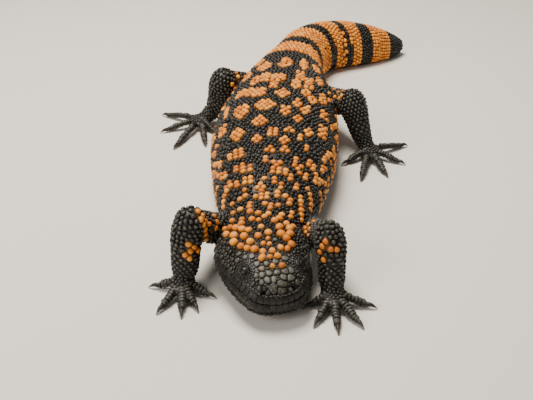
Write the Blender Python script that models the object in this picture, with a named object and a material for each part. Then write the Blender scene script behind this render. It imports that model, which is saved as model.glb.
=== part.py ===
# Gila monster, life size: a heavy beaded lizard standing low, head raised and turned a little
# to its left, tail bent to its left. Metres, +Z up, snout towards -Y, the animal's left is +X.
# The origin is the middle of the flat under the belly, on the floor.

import math

import bmesh
import bpy
import numpy as np
from mathutils import Matrix, Vector

# Driving sizes
mm = 0.001
gap = 0.3 * mm              # between pieces that meet face to face
floor_z = 0.0
head_width = 50 * mm
trunk_width = 83 * mm
trunk_height = 47.8 * mm
tail_width = 41 * mm
total_length = 457 * mm

# The spine seen from above, from the snout tip to the tail tip (x, y in millimetres)
spine_plan = [
    (0.8, -149.5), (-3.8, -129), (-8.1, -109.6), (-8.9, -98), (-7, -87), (-5.8, -77),
    (-5.2, -64), (-4.6, -50), (-2.8, -21.6), (0.8, 31.6), (4.6, 66.4), (8.2, 107.6),
    (12, 136), (16, 156), (20.3, 173), (26, 190), (35, 204.5), (49, 215), (67, 222),
    (86, 229), (104, 237.5), (119, 247),
]

# Cross-sections along the spine: distance from the snout, half width, underside, top (mm)
half_head = head_width / mm / 2
half_trunk = trunk_width / mm / 2
half_tail = tail_width / mm / 2
top_of_trunk = trunk_height / mm
sections = [
    (0, 0.10 * half_head, 9.8, 15.6), (0.9, 0.32 * half_head, 6.6, 18.6),
    (2.1, 0.46 * half_head, 5.3, 20.6), (3.6, 0.55 * half_head, 4.8, 22.0),
    (5.8, 0.625 * half_head, 4.6, 23.4), (9.5, 0.71 * half_head, 4.6, 25.1),
    (15.5, 0.82 * half_head, 4.8, 27.4), (25, 0.92 * half_head, 5.1, 30.0),
    (32, 0.972 * half_head, 5.3, 31.3), (39, 1.0 * half_head, 5.5, 32.2),
    (46, 0.98 * half_head, 5.6, 32.6), (52, 0.94 * half_head, 5.6, 32.6),
    (58, 0.92 * half_head, 5.5, 32.6), (65, 0.93 * half_head, 5.3, 33.0),
    (73, 1.0 * half_head, 5.0, 34.2), (82, 1.10 * half_head, 4.3, 36.2),
    (99.5, 0.765 * half_trunk, 2.6, 39.8), (128, 0.895 * half_trunk, 0.4, 44.4),
    (145, 0.957 * half_trunk, -0.4, 46.2), (181, 1.0 * half_trunk, -0.6, top_of_trunk),
    (216, 0.94 * half_trunk, -0.5, 46.8), (240, 0.865 * half_trunk, 0.3, 45.2),
    (257, 0.80 * half_trunk, 1.2, 43.5), (272, 0.735 * half_trunk, 1.6, 42.2),
    (285, 0.672 * half_trunk, 1.5, 41.4), (307, 1.11 * half_tail, 0.4, 40.4),
    (323, 1.02 * half_tail, -0.3, 40.0), (339, 1.0 * half_tail, -0.6, 39.8),
    (357, 1.0 * half_tail, -0.6, 39.6), (376, 0.995 * half_tail, -0.6, 39.0),
    (396, 0.94 * half_tail, -0.6, 37.0), (416, 0.80 * half_tail, -0.6, 32.2),
    (431, 0.64 * half_tail, -0.5, 26.6), (442, 0.47 * half_tail, 0.0, 21.2),
    (450, 0.30 * half_tail, 1.4, 16.4), (454.6, 0.16 * half_tail, 3.8, 12.8),
    (457, 0.04 * half_tail, 7.2, 9.2),
]
widest_share = 0.40         # height of the widest line, as a share of a section's height
top_power = 0.85            # 1 is an ellipse, less is boxier
belly_power = 0.62
ring_sides = 24

# Lengths of the spine: node name, from, to (mm), number of sections
spine_nodes = [
    ("head", 0.0, 53, 18), ("neck", 53, 67, 4), ("torso_front", 67, 172, 9),
    ("torso_rear", 172, 272, 8), ("tail_base", 272, 336, 6), ("tail_middle", 336, 400, 8),
    ("tail_tip", 400, 457, 10),
]

# Legs. Each has a guide for its upper part, from inside the trunk to the elbow or knee, and one
# for its lower part, from there to the sole: x, y, z and radius in millimetres. The foot starts
# at a share of the lower guide. Claw tips run from the first toe to the fifth.
legs = {
    "fore_right": dict(
        nodes=("upper_arm_right", "forearm_right", "hand_right"), foot_from=0.72,
        upper=[(-14, -71, 15, 9.2), (-27.5, -82, 15.5, 9.0), (-35.5, -95, 23.5, 8.5),
               (-41, -104, 31, 8.0), (-45.3, -109.5, 35.5, 7.0)],
        lower=[(-45.3, -109.5, 35.5, 8.6), (-47.7, -111, 26, 8.4), (-48.3, -112.3, 17.5, 8.1),
               (-48.9, -115, 10, 7.4), (-50, -118, 5.5, 5.4)],
        palm=(-50, -119), palm_radii=(7.8, 7.0, 4.7), claw=8,
        claw_tips=[(-31.5, -127.5), (-40, -139.5), (-48.5, -144.5), (-61.5, -141),
                   (-68.5, -117.5)],
    ),
    "fore_left": dict(
        nodes=("upper_arm_left", "forearm_left", "hand_left"), foot_from=0.72,
        upper=[(6, -71, 13, 9.0), (17.5, -82, 13.5, 8.6), (22, -96, 20.2, 8.0),
               (24.5, -107, 26.5, 7.7), (26.2, -115, 30.5, 6.8)],
        lower=[(26.2, -115, 30.5, 8.2), (27.4, -119, 21.5, 7.9), (27.6, -121.5, 15, 7.5),
               (27.6, -125, 9.5, 7.2), (28, -128.5, 5.5, 5.4)],
        palm=(28, -129.5), palm_radii=(7.8, 7.0, 4.7), claw=8,
        claw_tips=[(12, -136), (17, -151.5), (29, -157), (42, -152.5), (50.5, -136)],
    ),
    "hind_right": dict(
        nodes=("thigh_right", "shank_right", "foot_right"), foot_from=0.70,
        upper=[(-2, 100, 22, 12), (-14, 98, 23.5, 12), (-25, 92.5, 29.5, 10.5),
               (-37.3, 87, 35, 8.6)],
        lower=[(-37.3, 87, 35, 9.9), (-39.8, 88.5, 25, 9.3), (-42.2, 90, 17.5, 8.5),
               (-45.5, 91, 11, 7.4), (-52.5, 88, 6, 5.4)],
        palm=(-55, 87), palm_radii=(8.0, 8.6, 4.7), claw=7,
        claw_tips=[(-41, 68), (-49, 49), (-71.6, 45.3), (-84, 73), (-86.3, 105)],
    ),
    "hind_left": dict(
        nodes=("thigh_left", "shank_left", "foot_left"), foot_from=0.70,
        upper=[(20, 92, 20, 12), (32, 84, 21.5, 11.6), (43.5, 68, 27.5, 9.5), (53, 51, 33.5, 8.4)],
        lower=[(53, 51, 33.5, 9.8), (56.5, 47, 23.5, 8.5), (58.8, 44, 16.5, 7.8),
               (60.8, 42, 11, 7.0), (64, 37, 6, 5.4)],
        palm=(64.5, 36), palm_radii=(8.0, 8.6, 4.7), claw=7,
        claw_tips=[(44.5, 21), (55.4, -1.7), (74.1, 3.5), (88.5, 22), (94.5, 52)],
    ),
}
leg_sides = 12
toe_sides = 6
claw_sides = 5
toe_root_z = 4.9 * mm
toe_root_radius = 2.6 * mm
toe_end_z = 2.1 * mm
toe_end_radius = 2.2 * mm
claw_root_radius = 1.45 * mm

# Head features: distances are from the snout tip along the head
eye_at = 16.4 * mm
eye_height = 24.6 * mm
eye_radius = 3.2 * mm
eye_sunk = 2.0 * mm
lid_ring_radius = 3.4 * mm
lid_thickness = 0.85 * mm
lid_oval = 1.12
nostril_at = 3.3 * mm
nostril_height = 20.5 * mm
nostril_radii = (1.0 * mm, 1.5 * mm, 0.9 * mm)
mouth_corner_at = 34 * mm
mouth_heights = [(0, 13.4), (3, 14.8), (6, 15.9), (10, 16.9), (16, 17.4), (24, 17.1), (34, 16.9)]
mouth_groove_radius = 0.4 * mm
lip_radius = 1.1 * mm
lip_offset = 1.2 * mm
ear_at = 49 * mm
ear_height = 17.5 * mm
ear_radii = (0.9 * mm, 3.0 * mm, 1.6 * mm)

# Beads of the skin, at their size but fewer than the real ones: rows across the back and the
# crown, and a few on each leg. Radius, height above the skin, and depth of the root.
back_bead = (1.75 * mm, 0.8 * mm, 1.0 * mm)
crown_bead = (2.1 * mm, 0.9 * mm, 1.0 * mm)
leg_bead = (1.35 * mm, 0.6 * mm, 0.9 * mm)
bead_sides = 5
bead_row_step = 14 * mm
bead_step_in_row = 16 * mm
back_side_degrees = 26
crown_side_degrees = 42
crown_rows = [(21.5, 2), (26, 3), (30.5, 4), (35, 5), (39.5, 4), (44, 5), (48.5, 4)]
leg_bead_shares = {"upper": (0.42, 0.62, 0.82), "lower": (0.26, 0.40, 0.54)}
leg_bead_turn = math.radians(48)
leg_bead_clearance = 3.5 * mm

# Colours from the photograph, as linear red, green and blue
black_skin = (0.022, 0.022, 0.022)
orange_skin = (0.62, 0.23, 0.075)
face_skin = (0.035, 0.034, 0.032)
eye_black = (0.008, 0.006, 0.005)
claw_horn = (0.045, 0.038, 0.030)


def clear_scene():
    for thing in list(bpy.data.objects):
        bpy.data.objects.remove(thing, do_unlink=True)


def finish(name, colour, roughness):
    """One Principled material."""
    material = bpy.data.materials.new(name)
    material.use_nodes = True
    shader = material.node_tree.nodes["Principled BSDF"]
    shader.inputs["Base Color"].default_value = (*colour, 1)
    shader.inputs["Roughness"].default_value = roughness
    shader.inputs["Metallic"].default_value = 0
    return material


def smooth_curve(keys, values, at):
    """Cubic curve through values at keys, read at one place."""
    keys = np.asarray(keys, float)
    values = np.asarray(values, float)
    slopes = np.gradient(values, keys, axis=0)
    i = int(np.clip(np.searchsorted(keys, at) - 1, 0, len(keys) - 2))
    span = keys[i + 1] - keys[i]
    t = (at - keys[i]) / span
    from_start = (1 + 2 * t) * (1 - t) ** 2 * values[i] + t * (1 - t) ** 2 * span * slopes[i]
    from_end = t * t * (3 - 2 * t) * values[i + 1] + t * t * (t - 1) * span * slopes[i + 1]
    return from_start + from_end


def running_length(points):
    """Distance along a chain of points, starting at 0."""
    steps = np.linalg.norm(np.diff(np.asarray(points, float), axis=0), axis=1)
    return np.concatenate([[0], np.cumsum(steps)])


plan_keys = running_length(spine_plan)
plan_keys = plan_keys * (total_length / mm / plan_keys[-1])


def spine_place(s):
    """Middle of the spine seen from above and its heading, at s metres from the snout."""
    here = smooth_curve(plan_keys, spine_plan, s / mm)
    ahead = smooth_curve(plan_keys, spine_plan, s / mm + 0.5)
    behind = smooth_curve(plan_keys, spine_plan, s / mm - 0.5)
    along = Vector((*(ahead - behind), 0)).normalized()
    return Vector((*here, 0)) * mm, along


def spine_sizes(s):
    """Half width, underside and top of the body, at s metres from the snout."""
    keys = [row[0] for row in sections]
    values = [row[1:] for row in sections]
    return smooth_curve(keys, values, s / mm) * mm


def signed_power(value, power):
    return math.copysign(abs(value) ** power, value)


def spine_point(s, angle, grow=0.0):
    """Point of the body's surface: angle 0 is its left side and a quarter turn its top."""
    middle, along = spine_place(s)
    half, low, high = spine_sizes(s)
    side = Vector((along.y, -along.x, 0))
    widest = low + widest_share * (high - low)
    power = top_power if math.sin(angle) > 0 else belly_power
    reach = high - widest if math.sin(angle) > 0 else widest - low
    out = signed_power(math.cos(angle), power) * (half + grow)
    up = widest + signed_power(math.sin(angle), power) * (reach + grow)
    return middle + side * out + Vector((0, 0, up))


def spine_normal(s, angle):
    step = 0.6 * mm
    turn = 0.02
    forward = spine_point(s + step, angle) - spine_point(s - step, angle)
    around = spine_point(s, angle + turn) - spine_point(s, angle - turn)
    return forward.cross(around).normalized()


def angle_at_height(s, height, left):
    """Angle on the body's left or right side where its surface has this height."""
    half, low, high = spine_sizes(s)
    widest = low + widest_share * (high - low)
    above = height > widest
    reach = high - widest if above else widest - low
    power = top_power if above else belly_power
    share = min(1.0, abs(height - widest) / reach)
    angle = math.copysign(math.asin(share ** (1 / power)), height - widest)
    return angle if left else math.pi - angle


def loft(name, rings):
    """Closed mesh object that passes through rings of points: one cap, extruded ring by ring."""
    mesh = bpy.data.meshes.new(name)
    bm = bmesh.new()
    place = bm.verts.layers.int.new("place")
    made = bmesh.ops.create_circle(bm, cap_ends=True, segments=len(rings[0]), radius=mm)
    for index, vert in enumerate(made["verts"]):
        vert[place] = index
        vert.co = rings[0][index]
    bm.faces.ensure_lookup_table()
    cap = bm.faces[0]
    for ring in rings[1:]:
        grown = bmesh.ops.extrude_face_region(bm, geom=[cap, *cap.edges, *cap.verts])["geom"]
        cap = next(part for part in grown if isinstance(part, bmesh.types.BMFace))
        for vert in cap.verts:
            vert.co = ring[vert[place]]
    bmesh.ops.recalc_face_normals(bm, faces=bm.faces[:])
    caps = [face for face in bm.faces if len(face.verts) > 4]
    bmesh.ops.triangulate(bm, faces=caps)
    bm.verts.layers.int.remove(bm.verts.layers.int["place"])
    bm.to_mesh(mesh)
    bm.free()
    made_object = bpy.data.objects.new(name, mesh)
    bpy.context.scene.collection.objects.link(made_object)
    return made_object


def spine_rings(start, end, count, grow=0.0):
    turns = [2 * math.pi * (k + 0.5) / ring_sides for k in range(ring_sides)]
    places = np.linspace(start, end, count)
    return [[spine_point(s, angle, grow) for angle in turns] for s in places]


def guide_frames(guide, places):
    """Middle, two cross directions and radius at shares of a guide line, without twist."""
    guide = np.asarray(guide, float)
    keys = running_length(guide[:, :3])
    rows = [smooth_curve(keys, guide, share * keys[-1]) for share in places]
    nudge = keys[-1] * 0.01
    frames = []
    side = None
    for share, row in zip(places, rows):
        ahead = smooth_curve(keys, guide, min(keys[-1], share * keys[-1] + nudge))
        behind = smooth_curve(keys, guide, max(0, share * keys[-1] - nudge))
        along = Vector(ahead[:3] - behind[:3]).normalized()
        if side is None:
            side = along.cross(Vector((0, 0, 1)))
        side = (side - along * side.dot(along)).normalized()
        frames.append((Vector(row[:3]) * mm, side.copy(), along.cross(side), row[3] * mm))
    return frames


def tube_rings(guide, places, sides, grow=0.0):
    turns = [2 * math.pi * k / sides for k in range(sides)]
    rings = []
    for middle, side, up, radius in guide_frames(guide, places):
        reach = radius + grow
        rings.append([
            middle + (side * math.cos(turn) + up * math.sin(turn)) * reach for turn in turns
        ])
    return rings


def ellipsoid(name, centre, radii, turn=None, segments=12, rings=8):
    """Closed ellipsoid, its three radii along its own axes."""
    mesh = bpy.data.meshes.new(name)
    bm = bmesh.new()
    bmesh.ops.create_uvsphere(bm, u_segments=segments, v_segments=rings, radius=1)
    size = Matrix.Diagonal((*radii, 1))
    turned = turn.to_4x4() if turn else Matrix.Identity(4)
    bm.transform(Matrix.Translation(centre) @ turned @ size)
    bm.to_mesh(mesh)
    bm.free()
    made_object = bpy.data.objects.new(name, mesh)
    bpy.context.scene.collection.objects.link(made_object)
    return made_object


def remove(thing):
    mesh = thing.data
    bpy.data.objects.remove(thing, do_unlink=True)
    bpy.data.meshes.remove(mesh)


def boolean(target, pieces, operation):
    """One Boolean of all the pieces on target, applied, with the pieces then removed."""
    group = bpy.data.collections.new("pieces")
    for piece in pieces:
        group.objects.link(piece)
    modifier = target.modifiers.new(operation.lower(), "BOOLEAN")
    modifier.operation = operation
    modifier.operand_type = "COLLECTION"
    modifier.collection = group
    modifier.solver = "MANIFOLD"
    apply_modifiers(target)
    for piece in pieces:
        remove(piece)
    bpy.data.collections.remove(group)


def apply_modifiers(target):
    graph = bpy.context.evaluated_depsgraph_get()
    done = bpy.data.meshes.new_from_object(target.evaluated_get(graph))
    old = target.data
    target.modifiers.clear()
    target.data = done
    bpy.data.meshes.remove(old)


def keep_largest(target):
    """Drops loose scraps and sealed hollows: the largest closed surface stays."""
    bm = bmesh.new()
    bm.from_mesh(target.data)
    bmesh.ops.remove_doubles(bm, verts=bm.verts[:], dist=0.002 * mm)
    left = set(bm.faces)
    islands = []
    while left:
        island = {left.pop()}
        waiting = list(island)
        while waiting:
            face = waiting.pop()
            for edge in face.edges:
                for other in edge.link_faces:
                    if other in left:
                        left.discard(other)
                        island.add(other)
                        waiting.append(other)
        islands.append(island)
    islands.sort(key=len, reverse=True)
    scraps = [face for island in islands[1:] for face in island]
    bmesh.ops.delete(bm, geom=scraps, context="FACES")
    bm.to_mesh(target.data)
    bm.free()


def flatten_on_floor(target):
    """Cuts off what is below the floor and closes the cut, which makes the resting flats."""
    bm = bmesh.new()
    bm.from_mesh(target.data)
    everything = bm.verts[:] + bm.edges[:] + bm.faces[:]
    cut = bmesh.ops.bisect_plane(
        bm, geom=everything, plane_co=(0, 0, floor_z), plane_no=(0, 0, 1), clear_inner=True,
        dist=0.001 * mm,
    )
    rim = [part for part in cut["geom_cut"] if isinstance(part, bmesh.types.BMEdge)]
    if rim:
        bmesh.ops.holes_fill(bm, edges=[edge for edge in rim if edge.is_boundary], sides=0)
    bmesh.ops.recalc_face_normals(bm, faces=bm.faces[:])
    bm.to_mesh(target.data)
    bm.free()


def dress(target, material, sharp_degrees=50):
    target.data.materials.clear()
    target.data.materials.append(material)
    target.data.shade_smooth()
    target.data.set_sharp_from_angle(angle=math.radians(sharp_degrees))


def turn_to(normal):
    """Rotation that takes +Z to normal, with +X kept level."""
    normal = normal.normalized()
    level = Vector((0, 0, 1)).cross(normal)
    if level.length < 1e-6:
        level = Vector((1, 0, 0))
    level.normalize()
    return Matrix((level, normal.cross(level), normal)).transposed()


def bead(place, normal, size):
    """A low dome with its root sunk in the skin."""
    radius, height, root = size
    level = turn_to(normal)
    rings = []
    for share, lift in ((1.0, -root), (0.85, 0.6 * height), (0.4, height)):
        ring = []
        for k in range(bead_sides):
            turn = 2 * math.pi * k / bead_sides
            flat = Vector((math.cos(turn) * radius * share, math.sin(turn) * radius * share, lift))
            ring.append(place + level @ flat)
        rings.append(ring)
    return loft("bead", rings)


def clear_of_legs(place):
    """Whether a bead here would stay off the roots of the legs."""
    for leg in legs.values():
        for middle, _, _, radius in guide_frames(leg["upper"], np.linspace(0, 1, 9)):
            if (place - middle).length < radius + leg_bead_clearance:
                return False
    return True


def beads_across(s, count, side_degrees, size):
    """One row of beads over the back, evenly spaced from side to side."""
    row = []
    for k in range(count):
        share = (k + 0.5) / count
        angle = math.radians(side_degrees + (180 - 2 * side_degrees) * share)
        place = spine_point(s, angle)
        if clear_of_legs(place):
            row.append(bead(place, outward(s, angle), size))
    return row


def outward(s, angle):
    """Surface normal of the body that points away from its middle."""
    normal = spine_normal(s, angle)
    middle, _ = spine_place(s)
    _, low, high = spine_sizes(s)
    away = spine_point(s, angle) - middle - Vector((0, 0, low + widest_share * (high - low)))
    return normal if normal.dot(away) > 0 else -normal


def back_beads(start, end):
    rows = max(1, round((end - start) / bead_row_step))
    beads = []
    for k in range(rows):
        s = start + (end - start) * (k + 0.5) / rows
        half, low, high = spine_sizes(s)
        count = max(1, round(2.2 * half / bead_step_in_row) + k % 2)
        beads += beads_across(s, count, back_side_degrees, back_bead)
    return beads


def make_spine(materials):
    """Head, neck, trunk and tail as lengths of one loft, with flats where they touch the floor."""
    for name, start, end, count in spine_nodes:
        start = start * mm + (gap / 2 if start else 0)
        end = end * mm - (gap / 2 if end * mm < total_length else 0)
        target = loft(name, spine_rings(start, end, count))
        if name == "head":
            add_head_features(target)
        else:
            boolean(target, back_beads(start, end), "UNION")
        flatten_on_floor(target)
        keep_largest(target)
        dress(target, materials[name])


def mouth_line(left, lift=0.0, inset=0.0):
    """Points of the lip line on one side, from the middle of the snout to the mouth's corner."""
    keys = [row[0] for row in mouth_heights]
    heights = [row[1] for row in mouth_heights]
    places = [1.2, 2.1, 3.6, 6, 10, 16, 22, 28, mouth_corner_at / mm]
    points = []
    for s in places:
        height = smooth_curve(keys, heights, s) * mm + lift
        points.append(spine_point(s * mm, angle_at_height(s * mm, height, left), -inset))
    return points


def mouth_tube(name, radius, lift=0.0, inset=0.0):
    """A tube that follows the lip line right round the snout."""
    right = mouth_line(False, lift, inset)
    left = mouth_line(True, lift, inset)
    snout, _ = spine_place(0)
    front = Vector((snout.x, snout.y - 0.1 * mm, right[0].z))
    chain = right[::-1] + [front] + left
    guide = [(*(point / mm), radius / mm) for point in chain]
    places = np.linspace(0, 1, 21)
    return loft(name, tube_rings(guide, places, 4))


def add_head_features(head):
    """Crown beads, lips, mouth line, lids with eye sockets, nostrils and ear openings."""
    joined = []
    for s, count in crown_rows:
        joined += beads_across(s * mm, count, crown_side_degrees, crown_bead)
    joined += [
        mouth_tube("lip_upper", lip_radius, lip_offset, 0.5 * lip_radius),
        mouth_tube("lip_lower", lip_radius, -lip_offset, 0.5 * lip_radius),
    ]
    cut = [mouth_tube("mouth_groove", mouth_groove_radius)]
    for left in (True, False):
        angle = angle_at_height(eye_at, eye_height, left)
        out = outward(eye_at, angle)
        centre = spine_point(eye_at, angle) - out * eye_sunk
        joined.append(lid_ring(centre + out * (eye_sunk + 0.15 * mm), out))
        cut.append(ellipsoid("socket", centre, (eye_radius + gap,) * 3, segments=12, rings=8))
        name = "eye_left" if left else "eye_right"
        eye = ellipsoid(name, centre, (eye_radius,) * 3, segments=12, rings=8)
        dress(eye, finish(name, eye_black, 0.08))
        cut.append(recess("nostril", nostril_at, nostril_height, left, nostril_radii))
        cut.append(recess("ear", ear_at, ear_height, left, ear_radii))
    boolean(head, joined, "UNION")
    boolean(head, cut, "DIFFERENCE")


def lid_ring(centre, out):
    """Raised rim of the two eyelids, longer than high."""
    bm = bmesh.new()
    made = bmesh.ops.create_circle(
        bm, segments=4, radius=lid_thickness,
        matrix=Matrix.Translation((lid_ring_radius, 0, 0)) @ Matrix.Rotation(math.pi / 2, 4, "X"),
    )
    edges = list({edge for vert in made["verts"] for edge in vert.link_edges})
    bmesh.ops.spin(
        bm, geom=made["verts"] + edges, cent=(0, 0, 0), axis=(0, 0, 1),
        angle=2 * math.pi, steps=12, use_merge=True,
    )
    bmesh.ops.remove_doubles(bm, verts=bm.verts[:], dist=0.01 * mm)
    bmesh.ops.recalc_face_normals(bm, faces=bm.faces[:])
    oval = Matrix.Diagonal((lid_oval, 1 / lid_oval, 1, 1))
    bm.transform(Matrix.Translation(centre) @ turn_to(out).to_4x4() @ oval)
    mesh = bpy.data.meshes.new("lids")
    bm.to_mesh(mesh)
    bm.free()
    ring = bpy.data.objects.new("lids", mesh)
    bpy.context.scene.collection.objects.link(ring)
    return ring


def recess(name, s, height, left, radii):
    """Ellipsoid cutter on the surface of the head: its radii are level, upright and inwards."""
    angle = angle_at_height(s, height, left)
    turn = turn_to(outward(s, angle))
    return ellipsoid(name, spine_point(s, angle), radii, turn, segments=8, rings=6)


def trunk_cutter():
    """The body from neck to tail, grown by the gap, which the legs' roots are cut to."""
    return loft("trunk_cutter", spine_rings(30 * mm, 310 * mm, 90, 1.4 * gap))


def make_toe(name, palm, tip, claw_length):
    """One digit from inside the palm to the root of its claw."""
    reach = (tip - palm).length - claw_length
    out = (tip - palm).normalized()
    heights = [(0.12, toe_root_z, toe_root_radius), (0.45, toe_root_z, toe_root_radius),
               (0.62, toe_root_z * 0.84, toe_root_radius * 0.86),
               (0.80, toe_root_z * 0.64, toe_root_radius * 0.93),
               (0.93, toe_end_z, toe_end_radius), (1.0, toe_end_z, toe_end_radius * 0.72)]
    guide = []
    for share, z, radius in heights:
        point = palm + out * reach * share
        guide.append((point.x / mm, point.y / mm, z / mm, radius / mm))
    return loft(name, tube_rings(guide, np.linspace(0, 1, 6), toe_sides))


def make_claw(name, palm, tip, claw_length):
    """A curved claw that starts a gap in front of its toe and comes down to the floor."""
    reach = (tip - palm).length
    out = (tip - palm).normalized()
    steps = [(0, toe_end_z, 1.0), (0.15, toe_end_z, 0.97), (0.4, toe_end_z * 1.06, 0.84),
             (0.7, toe_end_z * 0.8, 0.54), (1.0, 0.3 * mm, 0.12)]
    guide = []
    for share, z, radius in steps:
        point = palm + out * (reach - claw_length * (1 - share) + gap * (1 - share))
        guide.append((point.x / mm, point.y / mm, z / mm, claw_root_radius * radius / mm))
    return loft(name, tube_rings(guide, np.linspace(0, 1, 5), claw_sides))


def leg_beads(guide, shares):
    """Beads on the side of a leg that faces up and away from the trunk."""
    side_sign = 1 if guide[-1][0] > 0 else -1
    facing = Vector((side_sign, -0.5, 0.7)).normalized()
    beads = []
    for row, (middle, side, up, radius) in enumerate(guide_frames(guide, shares)):
        count = 2 + row % 2
        first = math.atan2(facing.dot(up), facing.dot(side)) - (count - 1) * leg_bead_turn / 2
        for k in range(count):
            turn = first + k * leg_bead_turn
            normal = side * math.cos(turn) + up * math.sin(turn)
            beads.append(bead(middle + normal * radius, normal, leg_bead))
    return beads


def rounded_start(guide):
    """Adds a dome in front of a guide's first point, so that its tube starts as a round joint."""
    first = Vector(guide[0][:3])
    radius = guide[0][3]
    back = (first - Vector(guide[1][:3])).normalized()
    dome = []
    for degrees in (80, 58, 32):
        turn = math.radians(degrees)
        point = first + back * radius * math.sin(turn)
        dome.append((*point, radius * math.cos(turn)))
    return dome + list(guide)


def make_leg(leg, materials):
    """Upper leg, lower leg, and a foot with five toes and five claws."""
    upper, lower, foot = leg["nodes"]
    lower_guide = rounded_start(leg["lower"])
    foot_from = leg["foot_from"]
    length = running_length(np.asarray(lower_guide)[:, :3])[-1] * mm
    half_gap = gap / 2 / length
    to_foot = np.linspace(0, foot_from - half_gap, 9)
    to_sole = np.linspace(foot_from - 4 * half_gap, 1, 4)
    made = {
        upper: loft(upper, tube_rings(leg["upper"], np.linspace(0, 1, 7), leg_sides)),
        lower: loft(lower, tube_rings(lower_guide, to_foot, leg_sides)),
        foot: loft(foot, tube_rings(lower_guide, to_sole, leg_sides)),
    }
    to_ankle = np.linspace(0, foot_from + half_gap, 9)
    lower_cutter = loft("lower_cutter", tube_rings(lower_guide, to_ankle, leg_sides, gap))
    boolean(made[upper], leg_beads(leg["upper"], leg_bead_shares["upper"]), "UNION")
    boolean(made[upper], [trunk_cutter(), lower_cutter], "DIFFERENCE")
    keep_largest(made[upper])
    boolean(made[lower], leg_beads(lower_guide, leg_bead_shares["lower"]), "UNION")
    boolean(made[lower], [trunk_cutter()], "DIFFERENCE")
    keep_largest(made[lower])

    palm = Vector((*leg["palm"], 0)) * mm
    radii = Vector(leg["palm_radii"]) * mm
    middle = palm + Vector((0, 0, radii.z - 0.2 * mm))
    pieces = [ellipsoid("palm", middle, radii, segments=10, rings=6)]
    for number, tip in enumerate(leg["claw_tips"], 1):
        tip = Vector((*tip, 0)) * mm
        pieces.append(make_toe("toe", palm, tip, leg["claw"] * mm))
        claw = make_claw(f"claw_{foot}_{number}", palm, tip, leg["claw"] * mm)
        dress(claw, materials["claw"])
    boolean(made[foot], pieces, "UNION")
    ankle_cutter = loft("ankle_cutter", tube_rings(lower_guide, to_ankle, leg_sides, 2 * gap))
    boolean(made[foot], [ankle_cutter], "DIFFERENCE")
    flatten_on_floor(made[foot])
    keep_largest(made[foot])
    for name, node in made.items():
        dress(node, materials[name])


def main():
    clear_scene()
    materials = {name: finish(name, orange_skin, 0.45) for name, *_ in spine_nodes}
    materials["head"] = finish("head", face_skin, 0.45)
    for leg in legs.values():
        for name in leg["nodes"]:
            materials[name] = finish(name, black_skin, 0.45)
    materials["claw"] = finish("claw", claw_horn, 0.35)
    make_spine(materials)
    for leg in legs.values():
        make_leg(leg, materials)


main()
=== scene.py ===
import math

import bmesh
import bpy
import numpy as np
from mathutils import Matrix, Vector
from mathutils.bvhtree import BVHTree
from mathutils.kdtree import KDTree


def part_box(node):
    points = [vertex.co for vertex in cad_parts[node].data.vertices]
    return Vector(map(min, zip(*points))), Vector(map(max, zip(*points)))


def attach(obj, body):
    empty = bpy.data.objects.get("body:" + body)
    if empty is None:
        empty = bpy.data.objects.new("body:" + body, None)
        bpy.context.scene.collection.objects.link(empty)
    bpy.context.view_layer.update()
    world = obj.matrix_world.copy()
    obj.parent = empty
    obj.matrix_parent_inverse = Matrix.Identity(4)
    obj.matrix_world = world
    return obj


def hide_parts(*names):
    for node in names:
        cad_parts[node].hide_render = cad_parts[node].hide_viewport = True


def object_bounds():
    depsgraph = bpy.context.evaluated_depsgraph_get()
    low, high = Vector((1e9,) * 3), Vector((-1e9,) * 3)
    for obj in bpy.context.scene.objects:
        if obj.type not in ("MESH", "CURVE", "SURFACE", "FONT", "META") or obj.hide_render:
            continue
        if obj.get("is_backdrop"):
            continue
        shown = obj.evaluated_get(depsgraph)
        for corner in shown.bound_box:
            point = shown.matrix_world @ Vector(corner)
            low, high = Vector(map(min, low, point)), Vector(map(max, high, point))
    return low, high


# Dressed model of a gila monster at life size. Lengths are millimetres until a mesh is made.
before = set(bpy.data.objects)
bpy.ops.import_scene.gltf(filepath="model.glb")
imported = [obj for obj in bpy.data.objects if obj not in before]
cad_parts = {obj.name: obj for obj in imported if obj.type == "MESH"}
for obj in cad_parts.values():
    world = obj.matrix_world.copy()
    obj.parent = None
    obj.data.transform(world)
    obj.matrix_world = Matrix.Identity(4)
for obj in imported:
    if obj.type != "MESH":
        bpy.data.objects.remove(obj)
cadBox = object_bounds()
mm = 0.001
dice = np.random.default_rng(7)
print("frame loaded")

# The picture's view, which the camera at the end uses and the spots of the arms are placed by
view = {
    "place": (-6, -460, 251.4), "pitchDown": 30, "lens": 54.03, "sensor": 36,
    "width": 533, "height": 400,
}

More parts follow.
